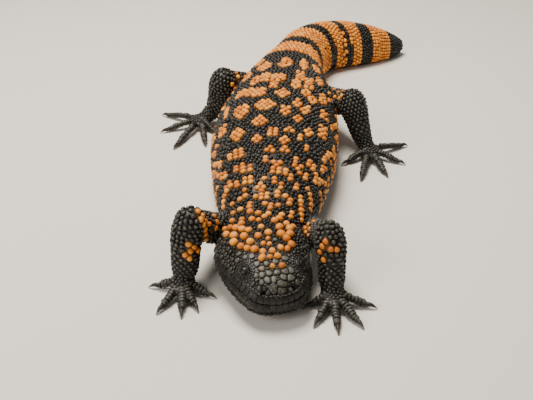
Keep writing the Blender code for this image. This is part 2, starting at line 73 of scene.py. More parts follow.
# The body's form, the same stations as the solids
body = {
    "length": 457,
    "plan": [   # the spine from above: x, y
        (0.8, -149.5), (-3.8, -129), (-8.1, -109.6), (-8.9, -98), (-7, -87), (-5.8, -77),
        (-5.2, -64), (-4.6, -50), (-2.8, -21.6), (0.8, 31.6), (4.6, 66.4), (8.2, 107.6),
        (12, 136), (16, 156), (20.3, 173), (26, 190), (35, 204.5), (49, 215), (67, 222),
        (86, 229), (104, 237.5), (119, 247),
    ],
    "sections": [   # distance from the snout, half width, underside, top
        (0, 2.5, 9.8, 15.6), (0.9, 8, 6.6, 18.6), (2.1, 11.5, 5.3, 20.6), (3.6, 13.75, 4.8, 22),
        (5.8, 15.6, 4.6, 23.4), (9.5, 17.75, 4.6, 25.1), (15.5, 20.5, 4.8, 27.4),
        (25, 23, 5.1, 30), (32, 24.3, 5.3, 31.3), (39, 25, 5.5, 32.2), (46, 24.5, 5.6, 32.6),
        (52, 23.5, 5.6, 32.6), (58, 23, 5.5, 32.6), (65, 23.25, 5.3, 33), (73, 25, 5, 34.2),
        (82, 27.5, 4.3, 36.2), (99.5, 31.75, 2.6, 39.8), (128, 37.1, 0.4, 44.4),
        (145, 39.7, -0.4, 46.2), (181, 41.5, -0.6, 47.8), (216, 39, -0.5, 46.8),
        (240, 35.9, 0.3, 45.2), (257, 33.2, 1.2, 43.5), (272, 30.5, 1.6, 42.2),
        (285, 27.9, 1.5, 41.4), (307, 22.75, 0.4, 40.4), (323, 20.9, -0.3, 40),
        (339, 20.5, -0.6, 39.8), (357, 20.5, -0.6, 39.6), (376, 20.4, -0.6, 39),
        (396, 19.3, -0.6, 37), (416, 16.4, -0.6, 32.2), (431, 13.1, -0.5, 26.6),
        (442, 9.6, 0, 21.2), (450, 6.15, 1.4, 16.4), (454.6, 3.3, 3.8, 12.8), (457, 0.8, 7.2, 9.2),
    ],
    "widestShare": 0.40,
    "topPower": 0.85,
    "bellyPower": 0.62,
    # how far the skin lies inside the solids, which is about the beads' depth
    "inset": [(0, 0.75), (20, 0.9), (60, 1.2), (425, 1.2), (445, 1.0), (457, 0.9)],
}

legs = {
    "armRight": {
        "hand": True, "nodes": ("upper_arm_right", "forearm_right", "hand_right"),
        "upper": [(-14, -71, 15, 9.2), (-27.5, -82, 15.5, 9), (-35.5, -95, 23.5, 8.5),
                  (-41, -104, 31, 8), (-45.3, -109.5, 35.5, 7)],
        "lower": [(-45.3, -109.5, 35.5, 8.6), (-47.7, -111, 26, 8.4), (-48.3, -112.3, 17.5, 8.1),
                  (-48.9, -115, 10, 7.4), (-50, -118, 5.5, 5.4)],
        "palm": (-50, -119), "palmRadii": (7.8, 7.0, 4.7), "claw": 5.4,
        "tips": [(-31.5, -127.5), (-40, -139.5), (-48.5, -144.5), (-61.5, -141), (-68.5, -117.5)],
    },
    "armLeft": {
        "hand": True, "nodes": ("upper_arm_left", "forearm_left", "hand_left"),
        "upper": [(6, -71, 13, 9), (17.5, -82, 13.5, 8.6), (22, -96, 20.2, 8),
                  (24.5, -107, 26.5, 7.7), (26.2, -115, 30.5, 6.8)],
        "lower": [(26.2, -115, 30.5, 8.2), (27.4, -119, 21.5, 7.9), (27.6, -121.5, 15, 7.5),
                  (27.6, -125, 9.5, 7.2), (28, -128.5, 5.5, 5.4)],
        "palm": (28, -129.5), "palmRadii": (7.8, 7.0, 4.7), "claw": 5.4,
        "tips": [(12, -136), (17, -151.5), (29, -157), (42, -152.5), (50.5, -136)],
    },
    "legRight": {
        "hand": False, "nodes": ("thigh_right", "shank_right", "foot_right"),
        "upper": [(-2, 100, 22, 12), (-14, 98, 23.5, 12), (-25, 92.5, 29.5, 10.5),
                  (-37.3, 87, 35, 8.6)],
        "lower": [(-37.3, 87, 35, 9.9), (-39.8, 88.5, 25, 9.3), (-42.2, 90, 17.5, 8.5),
                  (-45.5, 91, 11, 7.4), (-52.5, 88, 6, 5.4)],
        "palm": (-55, 87), "palmRadii": (8.0, 8.6, 4.7), "claw": 5.0,
        "tips": [(-41, 68), (-49, 49), (-71.6, 45.3), (-84, 73), (-86.3, 105)],
    },
    "legLeft": {
        "hand": False, "nodes": ("thigh_left", "shank_left", "foot_left"),
        "upper": [(20, 92, 20, 12), (32, 84, 21.5, 11.6), (43.5, 68, 27.5, 9.5),
                  (53, 51, 33.5, 8.4)],
        "lower": [(53, 51, 33.5, 9.8), (56.5, 47, 23.5, 8.5), (58.8, 44, 16.5, 7.8),
                  (60.8, 42, 11, 7), (64, 37, 6, 5.4)],
        "palm": (64.5, 36), "palmRadii": (8.0, 8.6, 4.7), "claw": 5.0,
        "tips": [(44.5, 21), (55.4, -1.7), (74.1, 3.5), (88.5, 22), (94.5, 52)],
    },
}
legSkinInset = 1.0


def readCurve(keys, values, at):
    # cubic curve through the values, read at many places at once
    at = np.asarray(at, float)
    slopes = np.gradient(values, keys, axis=0)
    low = np.clip(np.searchsorted(keys, at) - 1, 0, len(keys) - 2)
    span = (keys[low + 1] - keys[low])[..., None]
    t = (at - keys[low])[..., None] / span
    fromStart = (1 + 2 * t) * (1 - t) ** 2 * values[low] + t * (1 - t) ** 2 * span * slopes[low]
    fromEnd = t * t * (3 - 2 * t) * values[low + 1] + t * t * (t - 1) * span * slopes[low + 1]
    return fromStart + fromEnd


def runningLength(points):
    steps = np.linalg.norm(np.diff(np.asarray(points, float), axis=0), axis=1)
    return np.concatenate([[0], np.cumsum(steps)])


plan = np.array(body["plan"], float)
planKeys = runningLength(plan)
planKeys *= body["length"] / planKeys[-1]
sectionKeys = np.array([row[0] for row in body["sections"]], float)
sectionSizes = np.array([row[1:] for row in body["sections"]], float)


def unit(vectors):
    return vectors / np.maximum(np.linalg.norm(vectors, axis=-1, keepdims=True), 1e-9)


def signedPower(value, power):
    return np.sign(value) * np.abs(value) ** power


def insetAt(s):
    keys, depths = zip(*body["inset"])
    return np.interp(s, keys, depths)


def bodyPoint(s, angle, lift=0.0):
    # angle 0 is the left side, a quarter turn the back, half a turn the right side
    s, angle, lift = np.broadcast_arrays(*(np.asarray(v, float) for v in (s, angle, lift)))
    middle = readCurve(planKeys, plan, s)
    along = unit(readCurve(planKeys, plan, s + 0.5) - readCurve(planKeys, plan, s - 0.5))
    side = np.stack([along[..., 1], -along[..., 0]], -1)
    half, low, high = np.moveaxis(readCurve(sectionKeys, sectionSizes, s), -1, 0)
    widest = low + body["widestShare"] * (high - low)
    isTop = np.sin(angle) > 0
    power = np.where(isTop, body["topPower"], body["bellyPower"])
    reach = np.where(isTop, high - widest, widest - low)
    out = signedPower(np.cos(angle), power) * (half + lift)
    up = widest + signedPower(np.sin(angle), power) * (reach + lift)
    return np.concatenate([middle + side * out[..., None], up[..., None]], -1)


def skinPoint(s, angle):
    return bodyPoint(s, angle, -insetAt(s))


def bodyNormal(s, angle):
    forward = bodyPoint(s + 0.6, angle) - bodyPoint(np.maximum(s - 0.6, 0), angle)
    around = bodyPoint(s, angle + 0.02) - bodyPoint(s, angle - 0.02)
    normal = unit(np.cross(forward, around))
    middle = (bodyPoint(s, 0.5 * math.pi) + bodyPoint(s, -0.5 * math.pi)) / 2
    away = np.sum(normal * (bodyPoint(s, angle) - middle), -1, keepdims=True)
    return np.where(away > 0, normal, -normal)


def angleAtHeight(s, height, isLeft):
    half, low, high = readCurve(sectionKeys, sectionSizes, s)
    widest = low + body["widestShare"] * (high - low)
    isTop = height > widest
    reach = high - widest if isTop else widest - low
    power = body["topPower"] if isTop else body["bellyPower"]
    share = min(1.0, abs(height - widest) / reach)
    angle = math.copysign(math.asin(share ** (1 / power)), height - widest)
    return angle if isLeft else math.pi - angle


# Swellings and hollows of the head: distance from the snout, degrees down from the crown line,
# how far each reaches along and around, and its height
headForm = {
    "brow": (19, 34, 5, 8, 0.9),
    "snoutRidge": (10, 33, 6, 7, 0.5),
    "hollowInFrontOfEye": (9.5, 58, 4, 9, -0.6),
    "orbit": (17, 50, 4, 8, -0.4),
    "underEye": (18, 66, 5, 7, 0.35),
    "betweenBrows": (15, 0, 7, 18, -0.4),
    "snoutTop": (5, 0, 3.5, 30, 0.3),
    "cheek": (38, 84, 10, 20, 1.0),
    "behindEye": (25, 62, 3.5, 10, -0.5),
    "jaw": (30, 122, 12, 14, 0.5),
    "nape": (57, 0, 4.5, 50, -0.5),
}


def downFromCrown(angle):
    down = np.abs(np.degrees(angle) - 90) % 360
    return np.minimum(down, 360 - down)


def headRelief(s, angle):
    down = downFromCrown(angle)
    total = np.zeros(np.broadcast(s, down).shape)
    for at, tilt, reachAlong, reachRound, height in headForm.values():
        total += height * np.exp(-((s - at) / reachAlong) ** 2 - ((down - tilt) / reachRound) ** 2)
    return total


def guideFrames(guide, shares):
    guide = np.asarray(guide, float)
    keys = runningLength(guide[:, :3])
    rows = readCurve(keys, guide, np.asarray(shares) * keys[-1])
    nudge = keys[-1] * 0.01
    ahead = readCurve(keys, guide, np.minimum(keys[-1], np.asarray(shares) * keys[-1] + nudge))
    behind = readCurve(keys, guide, np.maximum(0, np.asarray(shares) * keys[-1] - nudge))
    alongs = unit((ahead - behind)[:, :3])
    side = None
    frames = []
    for row, along in zip(rows, alongs):
        side = np.cross(along, (0, 0, 1)) if side is None else side
        side = unit(side - along * np.dot(side, along))
        frames.append((row[:3], side, np.cross(along, side), row[3], along))
    return frames


def ringAt(guideFrame, turns, lift=0.0):
    middle, side, up, radius, _ = guideFrame
    return middle + (np.outer(np.cos(turns), side) + np.outer(np.sin(turns), up)) * (radius + lift)


def tubeRings(guide, shares, sides, lift=0.0):
    turns = np.arange(sides) * 2 * math.pi / sides
    return [ringAt(guideFrame, turns, lift) for guideFrame in guideFrames(guide, shares)]


def roundedStart(guide):
    # a dome before the first point, so that an elbow or knee is round
    first, second = np.array(guide[0][:3], float), np.array(guide[1][:3], float)
    radius = guide[0][3]
    back = unit(first - second)
    dome = []
    for degrees in (80, 58, 32):
        turn = math.radians(degrees)
        dome.append((*(first + back * radius * math.sin(turn)), radius * math.cos(turn)))
    return dome + list(guide)


toe = {"rootZ": 4.9, "rootRadius": 2.6, "endZ": 2.1, "endRadius": 2.2, "inset": 0.35}


def toeGuide(leg, tip):
    palm, tip = np.array(leg["palm"], float), np.array(tip, float)
    reach = np.linalg.norm(tip - palm) - leg["claw"]
    out = unit(tip - palm)
    rows = [(0.12, toe["rootZ"], toe["rootRadius"]), (0.38, toe["rootZ"], toe["rootRadius"]),
            (0.55, toe["rootZ"] * 0.86, toe["rootRadius"] * 0.9),
            (0.74, toe["rootZ"] * 0.66, toe["rootRadius"] * 0.92),
            (0.90, toe["endZ"] * 1.05, toe["endRadius"] * 0.94),
            (1.0, toe["endZ"], toe["endRadius"] * 0.74)]
    return [(*(palm + out * reach * share), z, radius) for share, z, radius in rows]


def palmForm(leg):
    # middle and radii of the skin's hand or foot
    size = np.array(leg["palmRadii"]) * np.array((0.84, 0.84, 0.9))
    return np.array([*leg["palm"], leg["palmRadii"][2] - 0.4]), size


def addLoft(bm, rings):
    # one cap, extruded from ring to ring
    order = bm.verts.layers.int.get("order") or bm.verts.layers.int.new("order")
    made = bmesh.ops.create_circle(bm, cap_ends=True, segments=len(rings[0]), radius=1)
    for index, vert in enumerate(made["verts"]):
        vert[order] = index
        vert.co = rings[0][index]
    cap = next(face for face in made["verts"][0].link_faces)
    for ring in rings[1:]:
        grown = bmesh.ops.extrude_face_region(bm, geom=[cap, *cap.edges, *cap.verts])["geom"]
        cap = next(item for item in grown if isinstance(item, bmesh.types.BMFace))
        for vert in cap.verts:
            vert.co = ring[vert[order]]


def newObject(name, mesh):
    thing = bpy.data.objects.new(name, mesh)
    bpy.context.scene.collection.objects.link(thing)
    return thing


def meshFrom(bm, name):
    bmesh.ops.recalc_face_normals(bm, faces=bm.faces[:])
    mesh = bpy.data.meshes.new(name)
    bm.to_mesh(mesh)
    bm.free()
    return mesh


def applied(thing):
    # the object's evaluated mesh takes the place of its own
    graph = bpy.context.evaluated_depsgraph_get()
    done = bpy.data.meshes.new_from_object(thing.evaluated_get(graph))
    old = thing.data
    thing.modifiers.clear()
    thing.data = done
    bpy.data.meshes.remove(old)


def readVectors(items, what):
    numbers = np.empty(len(items) * 3)
    items.foreach_get(what, numbers)
    return numbers.reshape(-1, 3)


def pointTree(places):
    tree = KDTree(len(places))
    for i, place in enumerate(places):
        tree.insert(place, i)
    tree.balance()
    return tree


def addAttribute(mesh, name, values):
    attribute = mesh.attributes.new(name, "FLOAT", "POINT")
    attribute.data.foreach_set("value", np.asarray(values, float))


# Skin: the lofts of body, legs and toes, joined and smoothed, with the head made finer
skinMake = {
    "voxel": 1.2, "smoothTimes": 4, "sides": 64, "ringStep": 2.2, "frontUntil": 4,
    "headBox": ((-38, -152, 3), (26, -94, 40)),
}

bm = bmesh.new()
turns = (np.arange(skinMake["sides"]) + 0.5) * 2 * math.pi / skinMake["sides"]
rings = []
for s in (0.05, 0.2, 0.45, 0.8, 1.3, 1.9, 2.6, 3.4):
    # the blunt snout is drawn in square to its surface
    front = bodyPoint(s, turns, headRelief(s, turns))
    rings.append(front - bodyNormal(np.full(len(turns), s), turns) * insetAt(s))
stations = np.concatenate([
    np.arange(4.5, 60, 1.0), np.arange(61, 446, skinMake["ringStep"]),
    np.array([447, 449.5, 451.5, 453.3, 454.7]),
])
rings += [bodyPoint(s, turns, -insetAt(s) + headRelief(s, turns)) for s in stations]
addLoft(bm, [ring * mm for ring in rings])
for leg in legs.values():
    for guide in (leg["upper"], roundedStart(leg["lower"])):
        rings = tubeRings(guide, np.linspace(0.01, 1, 30), 24, -legSkinInset)
        addLoft(bm, [ring * mm for ring in rings])
    palm, size = palmForm(leg)
    shape = Matrix.Translation(Vector(palm) * mm) @ Matrix.Diagonal((*(size * mm), 1))
    bmesh.ops.create_uvsphere(bm, u_segments=24, v_segments=14, radius=1, matrix=shape)
    for tip in leg["tips"]:
        shares = np.linspace(0, 1, 16)
        rings = tubeRings(toeGuide(leg, tip), shares, 12, -toe["inset"])
        knuckles = 1 + 0.07 * np.cos(shares * 3 * 2 * math.pi)     # three joints to a toe
        centres = [ring.mean(axis=0) for ring in rings]
        addLoft(bm, [
            (centre + (ring - centre) * swell) * mm
            for ring, centre, swell in zip(rings, centres, knuckles)
        ])
skin = newObject("skin", meshFrom(bm, "skin"))
remesh = skin.modifiers.new("remesh", "REMESH")
remesh.mode = "VOXEL"
remesh.voxel_size = skinMake["voxel"] * mm
smooth = skin.modifiers.new("smooth", "SMOOTH")
smooth.factor = 0.5
smooth.iterations = skinMake["smoothTimes"]
applied(skin)
print("skin joined:", len(skin.data.vertices), "points")

low, high = (Vector(corner) * mm for corner in skinMake["headBox"])
bm = bmesh.new()
bm.from_mesh(skin.data)
inHead = [
    edge for edge in bm.edges
    if all(low[i] < (edge.verts[0].co[i] + edge.verts[1].co[i]) / 2 < high[i] for i in range(3))
]
bmesh.ops.subdivide_edges(bm, edges=inHead, cuts=1, use_grid_fill=True)
fine = [vert for vert in bm.verts if all(low[i] < vert.co[i] < high[i] for i in range(3))]
for _ in range(2):
    bmesh.ops.smooth_vert(bm, verts=fine, factor=0.5, use_axis_x=True, use_axis_y=True, use_axis_z=True)
bm.to_mesh(skin.data)
bm.free()
print("head made finer:", len(skin.data.vertices), "points")

# Face: lids, mouth line, nostrils and ears pressed into the skin
face = {
    "eyeAt": 16.4, "eyeHeight": 24.6,
    "eyeOpening": (2.75, 1.95),      # half its length and half its height
    "lid": 0.45, "lidReach": 6.2,
    "mouthHeights": [(0, 13.4), (3, 14.8), (6, 15.9), (10, 16.9), (16, 17.4), (24, 17.1),
                     (34, 16.9)],
    "mouthCorner": 34,
    "mouthDepth": 1.1, "mouthWidth": 0.6, "lipSwell": 0.3, "lipDistance": 1.9,
    "nostrilAt": 3.3, "nostrilHeight": 20.5, "nostril": (0.95, 1.6), "nostrilDepth": 2.0,
    "earAt": 49, "earHeight": 17.5, "ear": (0.9, 3.0), "earDepth": 1.6,
}


def placeOnHead(s, height, isLeft, lift=0.0):
    angle = angleAtHeight(s, height, isLeft)
    place = bodyPoint(s, angle, lift)
    normal = bodyNormal(np.float64(s), np.float64(angle))
    forward = bodyPoint(s - 1, angle, lift) - bodyPoint(s + 1, angle, lift)
    forward = unit(forward - normal * np.dot(forward, normal))
    return place, normal, forward, np.cross(normal, forward)


def onSnout(s, angle):
    # the blunt front is met square to it, the rest of the head across its rings
    s, angle = np.broadcast_arrays(np.asarray(s, float), np.asarray(angle, float))
    squared = bodyPoint(s, angle) - bodyNormal(s, angle) * insetAt(s)[..., None]
    return np.where((s < skinMake["frontUntil"])[..., None], squared, skinPoint(s, angle))


def lipLine(lift=0.0, last=None):
    # places along the lip line from the right corner round the snout to the left one, with
    # their distance from the snout and their angle
    keys, heights = np.array(face["mouthHeights"], float).T
    nearFront = 0.02 + 6 * np.linspace(0, 1, 31)[:-1] ** 2
    stations = np.concatenate([nearFront, np.arange(6.02, last or face["mouthCorner"], 0.5)])
    right, left = (
        np.array([(s, angleAtHeight(s, np.interp(s, keys, heights) + lift, isLeft))
                  for s in stations])
        for isLeft in (False, True))
    rows = np.vstack([right[::-1], left])
    line = onSnout(*rows.T)
    # a straight run over the blunt tip joins the sides
    middle = len(stations)
    share = np.linspace(0, 1, 12)[1:-1, None]
    across = line[middle - 1] * (1 - share) + line[middle] * share
    acrossRows = rows[middle - 1] * (1 - share) + rows[middle] * share
    return (np.insert(line, middle, across, axis=0), np.insert(rows, middle, acrossRows, axis=0))


def nearestOn(points, line):
    return np.min(np.linalg.norm(points[:, None, :] - line[None, :, :], axis=2), axis=1)


eyes = {}
for isLeft in (True, False):
    node = "eye_left" if isLeft else "eye_right"
    boxLow, boxHigh = (np.array(corner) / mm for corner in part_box(node))
    _, out, forward, up = placeOnHead(face["eyeAt"], face["eyeHeight"], isLeft)
    if up[2] < 0:
        up = -up
    eyes[node] = {
        "centre": (boxLow + boxHigh) / 2, "radius": float((boxHigh - boxLow).mean() / 2),
        "out": out, "forward": forward, "up": up,
    }

co = readVectors(skin.data.vertices, "co") / mm
normals = readVectors(skin.data.vertices, "normal")
near = np.where((co[:, 1] < -92) & (co[:, 0] > -38) & (co[:, 0] < 26))[0]
part = co[near]
partNormals = normals[near]

mouth, _ = lipLine()
distance = nearestOn(part, mouth)
shift = -face["mouthDepth"] * np.exp(-(distance / face["mouthWidth"]) ** 2)
shift += face["lipSwell"] * np.exp(-((distance - face["lipDistance"]) / 0.9) ** 2)
pits = {}
for isLeft in (True, False):
    for name in ("nostril", "ear"):
        place, out, forward, up = placeOnHead(
            face[name + "At"], face[name + "Height"], isLeft, -insetAt(face[name + "At"]))
        offset = part - place
        across, rise = offset @ forward, offset @ up
        q = np.sqrt((across / face[name][0]) ** 2 + (rise / face[name][1]) ** 2)
        isNear = np.linalg.norm(offset, axis=1) < 6
        pit = -face[name + "Depth"] * np.exp(-q ** 4) + 0.3 * np.exp(-((q - 1.7) / 0.5) ** 2)
        shift += np.where(isNear, pit, 0)
        pits[name, isLeft] = (place, forward, up)
part = part + partNormals * shift[:, None]
for eye in eyes.values():
    offset = part - eye["centre"]
    a, b, h = offset @ eye["forward"], offset @ eye["up"], offset @ eye["out"]
    around = np.sqrt(a * a + b * b)
    lidRadius = eye["radius"] + face["lid"]
    lidHeight = np.sqrt(np.maximum(lidRadius ** 2 - around ** 2, 0.3))
    share = np.clip((face["lidReach"] - around) / 2.8, 0, 1)
    share = share * share * (3 - 2 * share)
    q = np.sqrt((a / face["eyeOpening"][0]) ** 2 + (b / face["eyeOpening"][1]) ** 2)
    raised = h + (np.maximum(h, lidHeight) - h) * share
    sunk = np.sqrt(np.maximum((eye["radius"] - 0.8) ** 2 - around ** 2, 0.2))
    wanted = np.where(q < 1, sunk, raised)
    move = np.where((h > -1) & (around < face["lidReach"]), wanted - h, 0)
    part = part + eye["out"] * move[:, None]
co[near] = part
co[:, 2] = np.maximum(co[:, 2], 0.15)
skin.data.vertices.foreach_set("co", (co * mm).ravel())
skin.data.update()
skin.data.shade_smooth()
print("face pressed in")

skinTree = BVHTree.FromPolygons(
    [tuple(v) for v in co], [tuple(p.vertices) for p in skin.data.polygons])
skinNormals = readVectors(skin.data.vertices, "normal")
skinFaces = [tuple(p.vertices) for p in skin.data.polygons]


def ontoSkin(places):
    # nearest point of the skin, its smooth normal, and how far away it was
    spots = np.empty_like(places)
    facing = np.empty_like(places)
    far = np.empty(len(places))
    for i, place in enumerate(places):
        spot, _, index, distance = skinTree.find_nearest(place)
        spots[i] = spot
        far[i] = distance
        facing[i] = skinNormals[list(skinFaces[index])].mean(axis=0)
    return spots, unit(facing), far


def underPixel(x, y):
    # the point of the skin that the picture shows at a pixel of its 533 by 400 frame
    pitch = math.radians(view["pitchDown"])
    focal = view["lens"] / view["sensor"] * view["width"]
    right = (x - view["width"] / 2) / focal
    up = (view["height"] / 2 - y) / focal
    ray = Vector((right, math.cos(pitch) + up * math.sin(pitch), up * math.cos(pitch) - math.sin(pitch)))
    return skinTree.ray_cast(Vector(view["place"]), ray.normalized())[0]


# Where the beads sit, and how large they are
beadSizes = {
    # distance from the snout: width of a dark bead, of an orange one, and of a belly scale
    "along": np.array([0, 53, 80, 150, 250, 330, 400, 440, 457], float),
    "widths": np.array([
        (2.3, 3.5, 3.0), (2.3, 3.3, 3.0), (2.45, 3.3, 3.2), (2.75, 3.5, 3.6), (2.85, 3.6, 3.6),
        (2.8, 3.4, 3.4), (2.6, 3.1, 3.0), (2.1, 2.5, 2.4), (1.7, 1.9, 1.9)], float),
    # height of a bead by its radius
    "darkHeight": 1.08, "orangeHeight": 1.06, "bellyHeight": 0.5,
    "jitter": 0.24,
    "bellyFrom": -38,       # degrees below the side where the flat belly scales start
}

# Orange patches of the neck, back and hips: distance from the snout, degrees round from the left
# side, half length along the body in millimetres, and half width in degrees
backPatches = [
    (63, 122, 2.6, 3.5), (63.5, 108.5, 3.6, 4.5), (64.5, 84, 2.6, 4.5), (66.5, 90.5, 1.2, 1.5),
    (66, 74.5, 1.4, 2), (61, 66, 2, 3.5), (62.5, 51, 2.2, 4), (72.5, 140.5, 3, 5),
    (73.5, 124, 2.8, 6), (75.5, 115.5, 2.4, 3.5), (79.5, 115, 1.4, 2), (72, 101, 2, 3.2),
    (74, 94.5, 3.8, 3), (73, 90, 2.5, 1.5), (75, 79.5, 2.4, 3), (75, 68.5, 1.6, 2.4),
    (71.5, 60.5, 2.5, 6), (81.5, 96, 2.6, 6), (88, 92.5, 1.6, 2.2), (86, 125, 2.6, 5.5),
    (87, 110.5, 2.4, 6), (82, 77, 3, 4), (86, 84.5, 2.8, 4), (84, 57, 2.6, 3.6),
    (97.5, 106.5, 3.2, 3.4), (98.5, 115, 4.5, 5), (99.5, 124, 2.4, 4.5), (97.5, 84, 5.5, 5.8),
    (94, 74, 3.2, 3.6), (90.5, 67, 2.4, 4), (96, 48, 2.4, 4), (104.5, 92.5, 3.2, 2.6),
    (113, 120, 4.8, 5.8), (112.5, 131.5, 2.8, 5.5), (114.5, 90, 3, 3), (115.5, 78, 3, 5.5),
    (123.5, 28, 2.4, 4), (124.5, 80, 4.6, 6), (122, 56.5, 3, 4.5), (125, 101, 4, 6),
    (133, 89.5, 4, 3), (137, 77, 3.4, 5), (130.5, 66, 3, 3), (139.5, 58, 5, 6.5),
    (134.5, 121.5, 7, 9), (148.5, 41, 8, 7.5), (152, 71, 3.8, 4.5), (147, 99.5, 5.5, 7.5),
    (160.5, 82.5, 6.3, 4.5), (162.5, 118.5, 9.5, 7.5), (168.5, 97, 8, 8.5), (175, 73, 5.8, 4.5),
    (167, 65, 6, 6), (172, 41, 6, 6.5), (149, 142, 6, 6.5), (171, 139, 7, 5),
    (190, 105, 7, 6), (192.5, 115, 7.5, 7), (194, 126, 6, 6), (188, 86.5, 8, 5.2),
    (195, 66, 6, 4.5), (186.5, 58, 6.5, 5), (198, 44, 8.5, 6), (205, 94, 8, 4),
    (217, 92.5, 9, 5), (221, 104.5, 9.5, 6.5), (216, 114.5, 9, 5), (208, 77, 9.5, 4.5),
    (227, 73.5, 9.5, 5.5), (216, 63, 11.5, 6.5), (230, 47, 9, 7), (235, 134, 8, 6),
    (257, 90.5, 14, 6), (258, 68, 13.5, 7), (249, 112, 11, 8), (262, 46, 9, 7),
    (268, 128, 8, 7),
]
# Orange bars one bead wide down the shoulders and flanks: half length, then points of the bar
flankStrokes = [
    (1.8, [(87, 39.5), (84, 31), (80, 24), (75, 17)]),
    (1.8, [(81, 51), (79, 48), (76, 44.5), (72, 39), (67.5, 33), (64, 28)]),
    (2.2, [(89, 137), (87, 144), (84.5, 152), (81, 160), (78, 166)]),
    (4.0, [(105, 65.5), (102, 60), (98, 55.5)]), (2.2, [(109, 48), (107.5, 42), (105.5, 36), (103.5, 32)]),
    (2.6, [(99, 31), (101, 24), (103.5, 17)]), (2.6, [(99.5, 142.5), (101, 150), (103.5, 157)]),
    (2.2, [(114, 26), (117, 19)]), (2.2, [(113, 150), (117, 158), (121, 165)]),
    (2.8, [(165, 27), (172, 21), (179, 15)]), (4.4, [(238, 131), (250, 142), (262, 152)]),
    (2.8, [(131, 160), (135, 166), (138, 172)]), (2.8, [(132, 24), (136, 16), (139, 9)]),
    (3.0, [(187, 150), (192, 158), (196, 166)]), (3.0, [(207, 32), (212, 24), (216, 14)]),
]
# Further bars on the flanks, where the picture doesn't reach
flankBars = {"from": 96, "to": 270, "step": 12.5, "top": 22, "bottom": -20, "clear": 5, "uneven": 9,
             "narrow": 0.4}

# Dark rings of the tail: distance from the snout on the left side, on top and on the right side,
# and the ring's width at the sides and on top
tailRings = [(282, 285.5, 284, 8, 9), (322, 322.5, 325, 11, 11), (367, 359.5, 357, 14, 11),
             (392, 386, 384, 4.5, 4.5), (409, 408, 406, 11, 9.5), (447, 447, 447, 26, 26)]

# Single beads of the crown: distance from the snout, degrees round, and radius
crownBeads = [
    (14.3, 81, 1.75), (14.6, 91, 1.5), (20.5, 100, 1.9), (20.4, 91, 1.4), (20.5, 84, 1.7),
    (24.3, 96, 1.7), (23.9, 88.2, 1.7), (26.8, 104.3, 2.0), (25.2, 76.5, 1.7), (27.8, 79, 1.7),
    (25, 69, 1.7), (27.5, 61, 2.1), (28.9, 113, 1.8), (29.6, 93, 1.5), (28.9, 88.3, 1.3),
    (31.8, 119.5, 2.0), (32.7, 106.5, 2.0), (32.9, 88, 1.3), (32.1, 66, 2.1), (36.1, 126.5, 2.2),
    (37.1, 110.3, 2.1), (35.7, 95, 2.0), (37.5, 86, 2.0), (36.1, 72.5, 2.2), (37.1, 59, 2.3),
    (40.6, 124, 2.2), (41.4, 103.5, 1.8), (42.9, 90.5, 1.6), (42.5, 71.5, 2.2), (43.2, 111.8, 2.0),
    (44.3, 137, 2.1), (45.7, 121, 2.1), (42.2, 57, 2.2), (47.9, 130.5, 1.9), (48, 112, 1.9),
    (47.5, 59, 1.9), (49.3, 75, 2.1), (50.7, 98.5, 1.9), (49.8, 92, 1.6), (46.8, 48.5, 1.8),
    (51.8, 112.8, 1.6), (53.4, 87.3, 1.7), (53.9, 69, 2.0), (52.5, 129, 1.7), (56.8, 93.2, 1.7),
    (57.5, 83.5, 1.7), (58.2, 104.8, 2.0), (59.3, 66, 1.7), (51, 50, 2.1), (54.5, 44.5, 2.1),
    (57.5, 37.5, 1.9), (62, 123, 1.6), (60, 137, 1.6), (52.5, 58, 1.9), (49.5, 142, 1.7),
]
palePlates = [(14.6, 103.5, 1.9), (14.2, 70, 1.7)]      # brown-orange ones in front of them
browPlates = [
    (17.1, 97, 1.9), (17.3, 87, 1.9), (17.9, 109, 2.0), (18.7, 74.5, 2.0), (23.2, 112, 2.1),
    (18.7, 62.5, 1.8), (32.1, 80.5, 1.5), (31.6, 100.5, 1.4), (22.4, 68, 1.7), (24.2, 120.5, 1.7),
    (28.2, 127, 1.7), (25, 134, 1.7),
]
snoutPlates = [
    (2.2, 88, 1.9), (2.4, 78, 1.9), (2.6, 99, 1.9), (4.9, 97, 2.1), (4.9, 86.5, 2.1),
    (4.6, 74.5, 2.0), (4.6, 106, 1.8), (8.0, 104.5, 2.1), (7.7, 94, 2.0), (8.4, 81.5, 2.1),
    (7.8, 70.5, 2.0), (11.4, 98, 2.0), (11, 88.5, 2.0), (11.4, 77, 2.0), (11.2, 108, 1.9),
    (11.4, 67.5, 1.8), (7.6, 114.5, 1.6), (15.4, 115.5, 1.7), (14.3, 61.5, 1.6), (11.6, 118, 1.5),
    (8, 62, 1.5),
]
# The pale edge above the lip plates, paler skin with a painted highlight along it, from the right side round
# the snout to the left
lipEdge = [
    (10.3, 142), (7.8, 140), (5.8, 137), (3.8, 135), (2.3, 134), (1.3, 126), (1.0, 112),
    (0.8, 90), (0.8, 70), (1.3, 57), (2.3, 46), (3.8, 44), (5.8, 43), (7.8, 40), (10.3, 38),
]

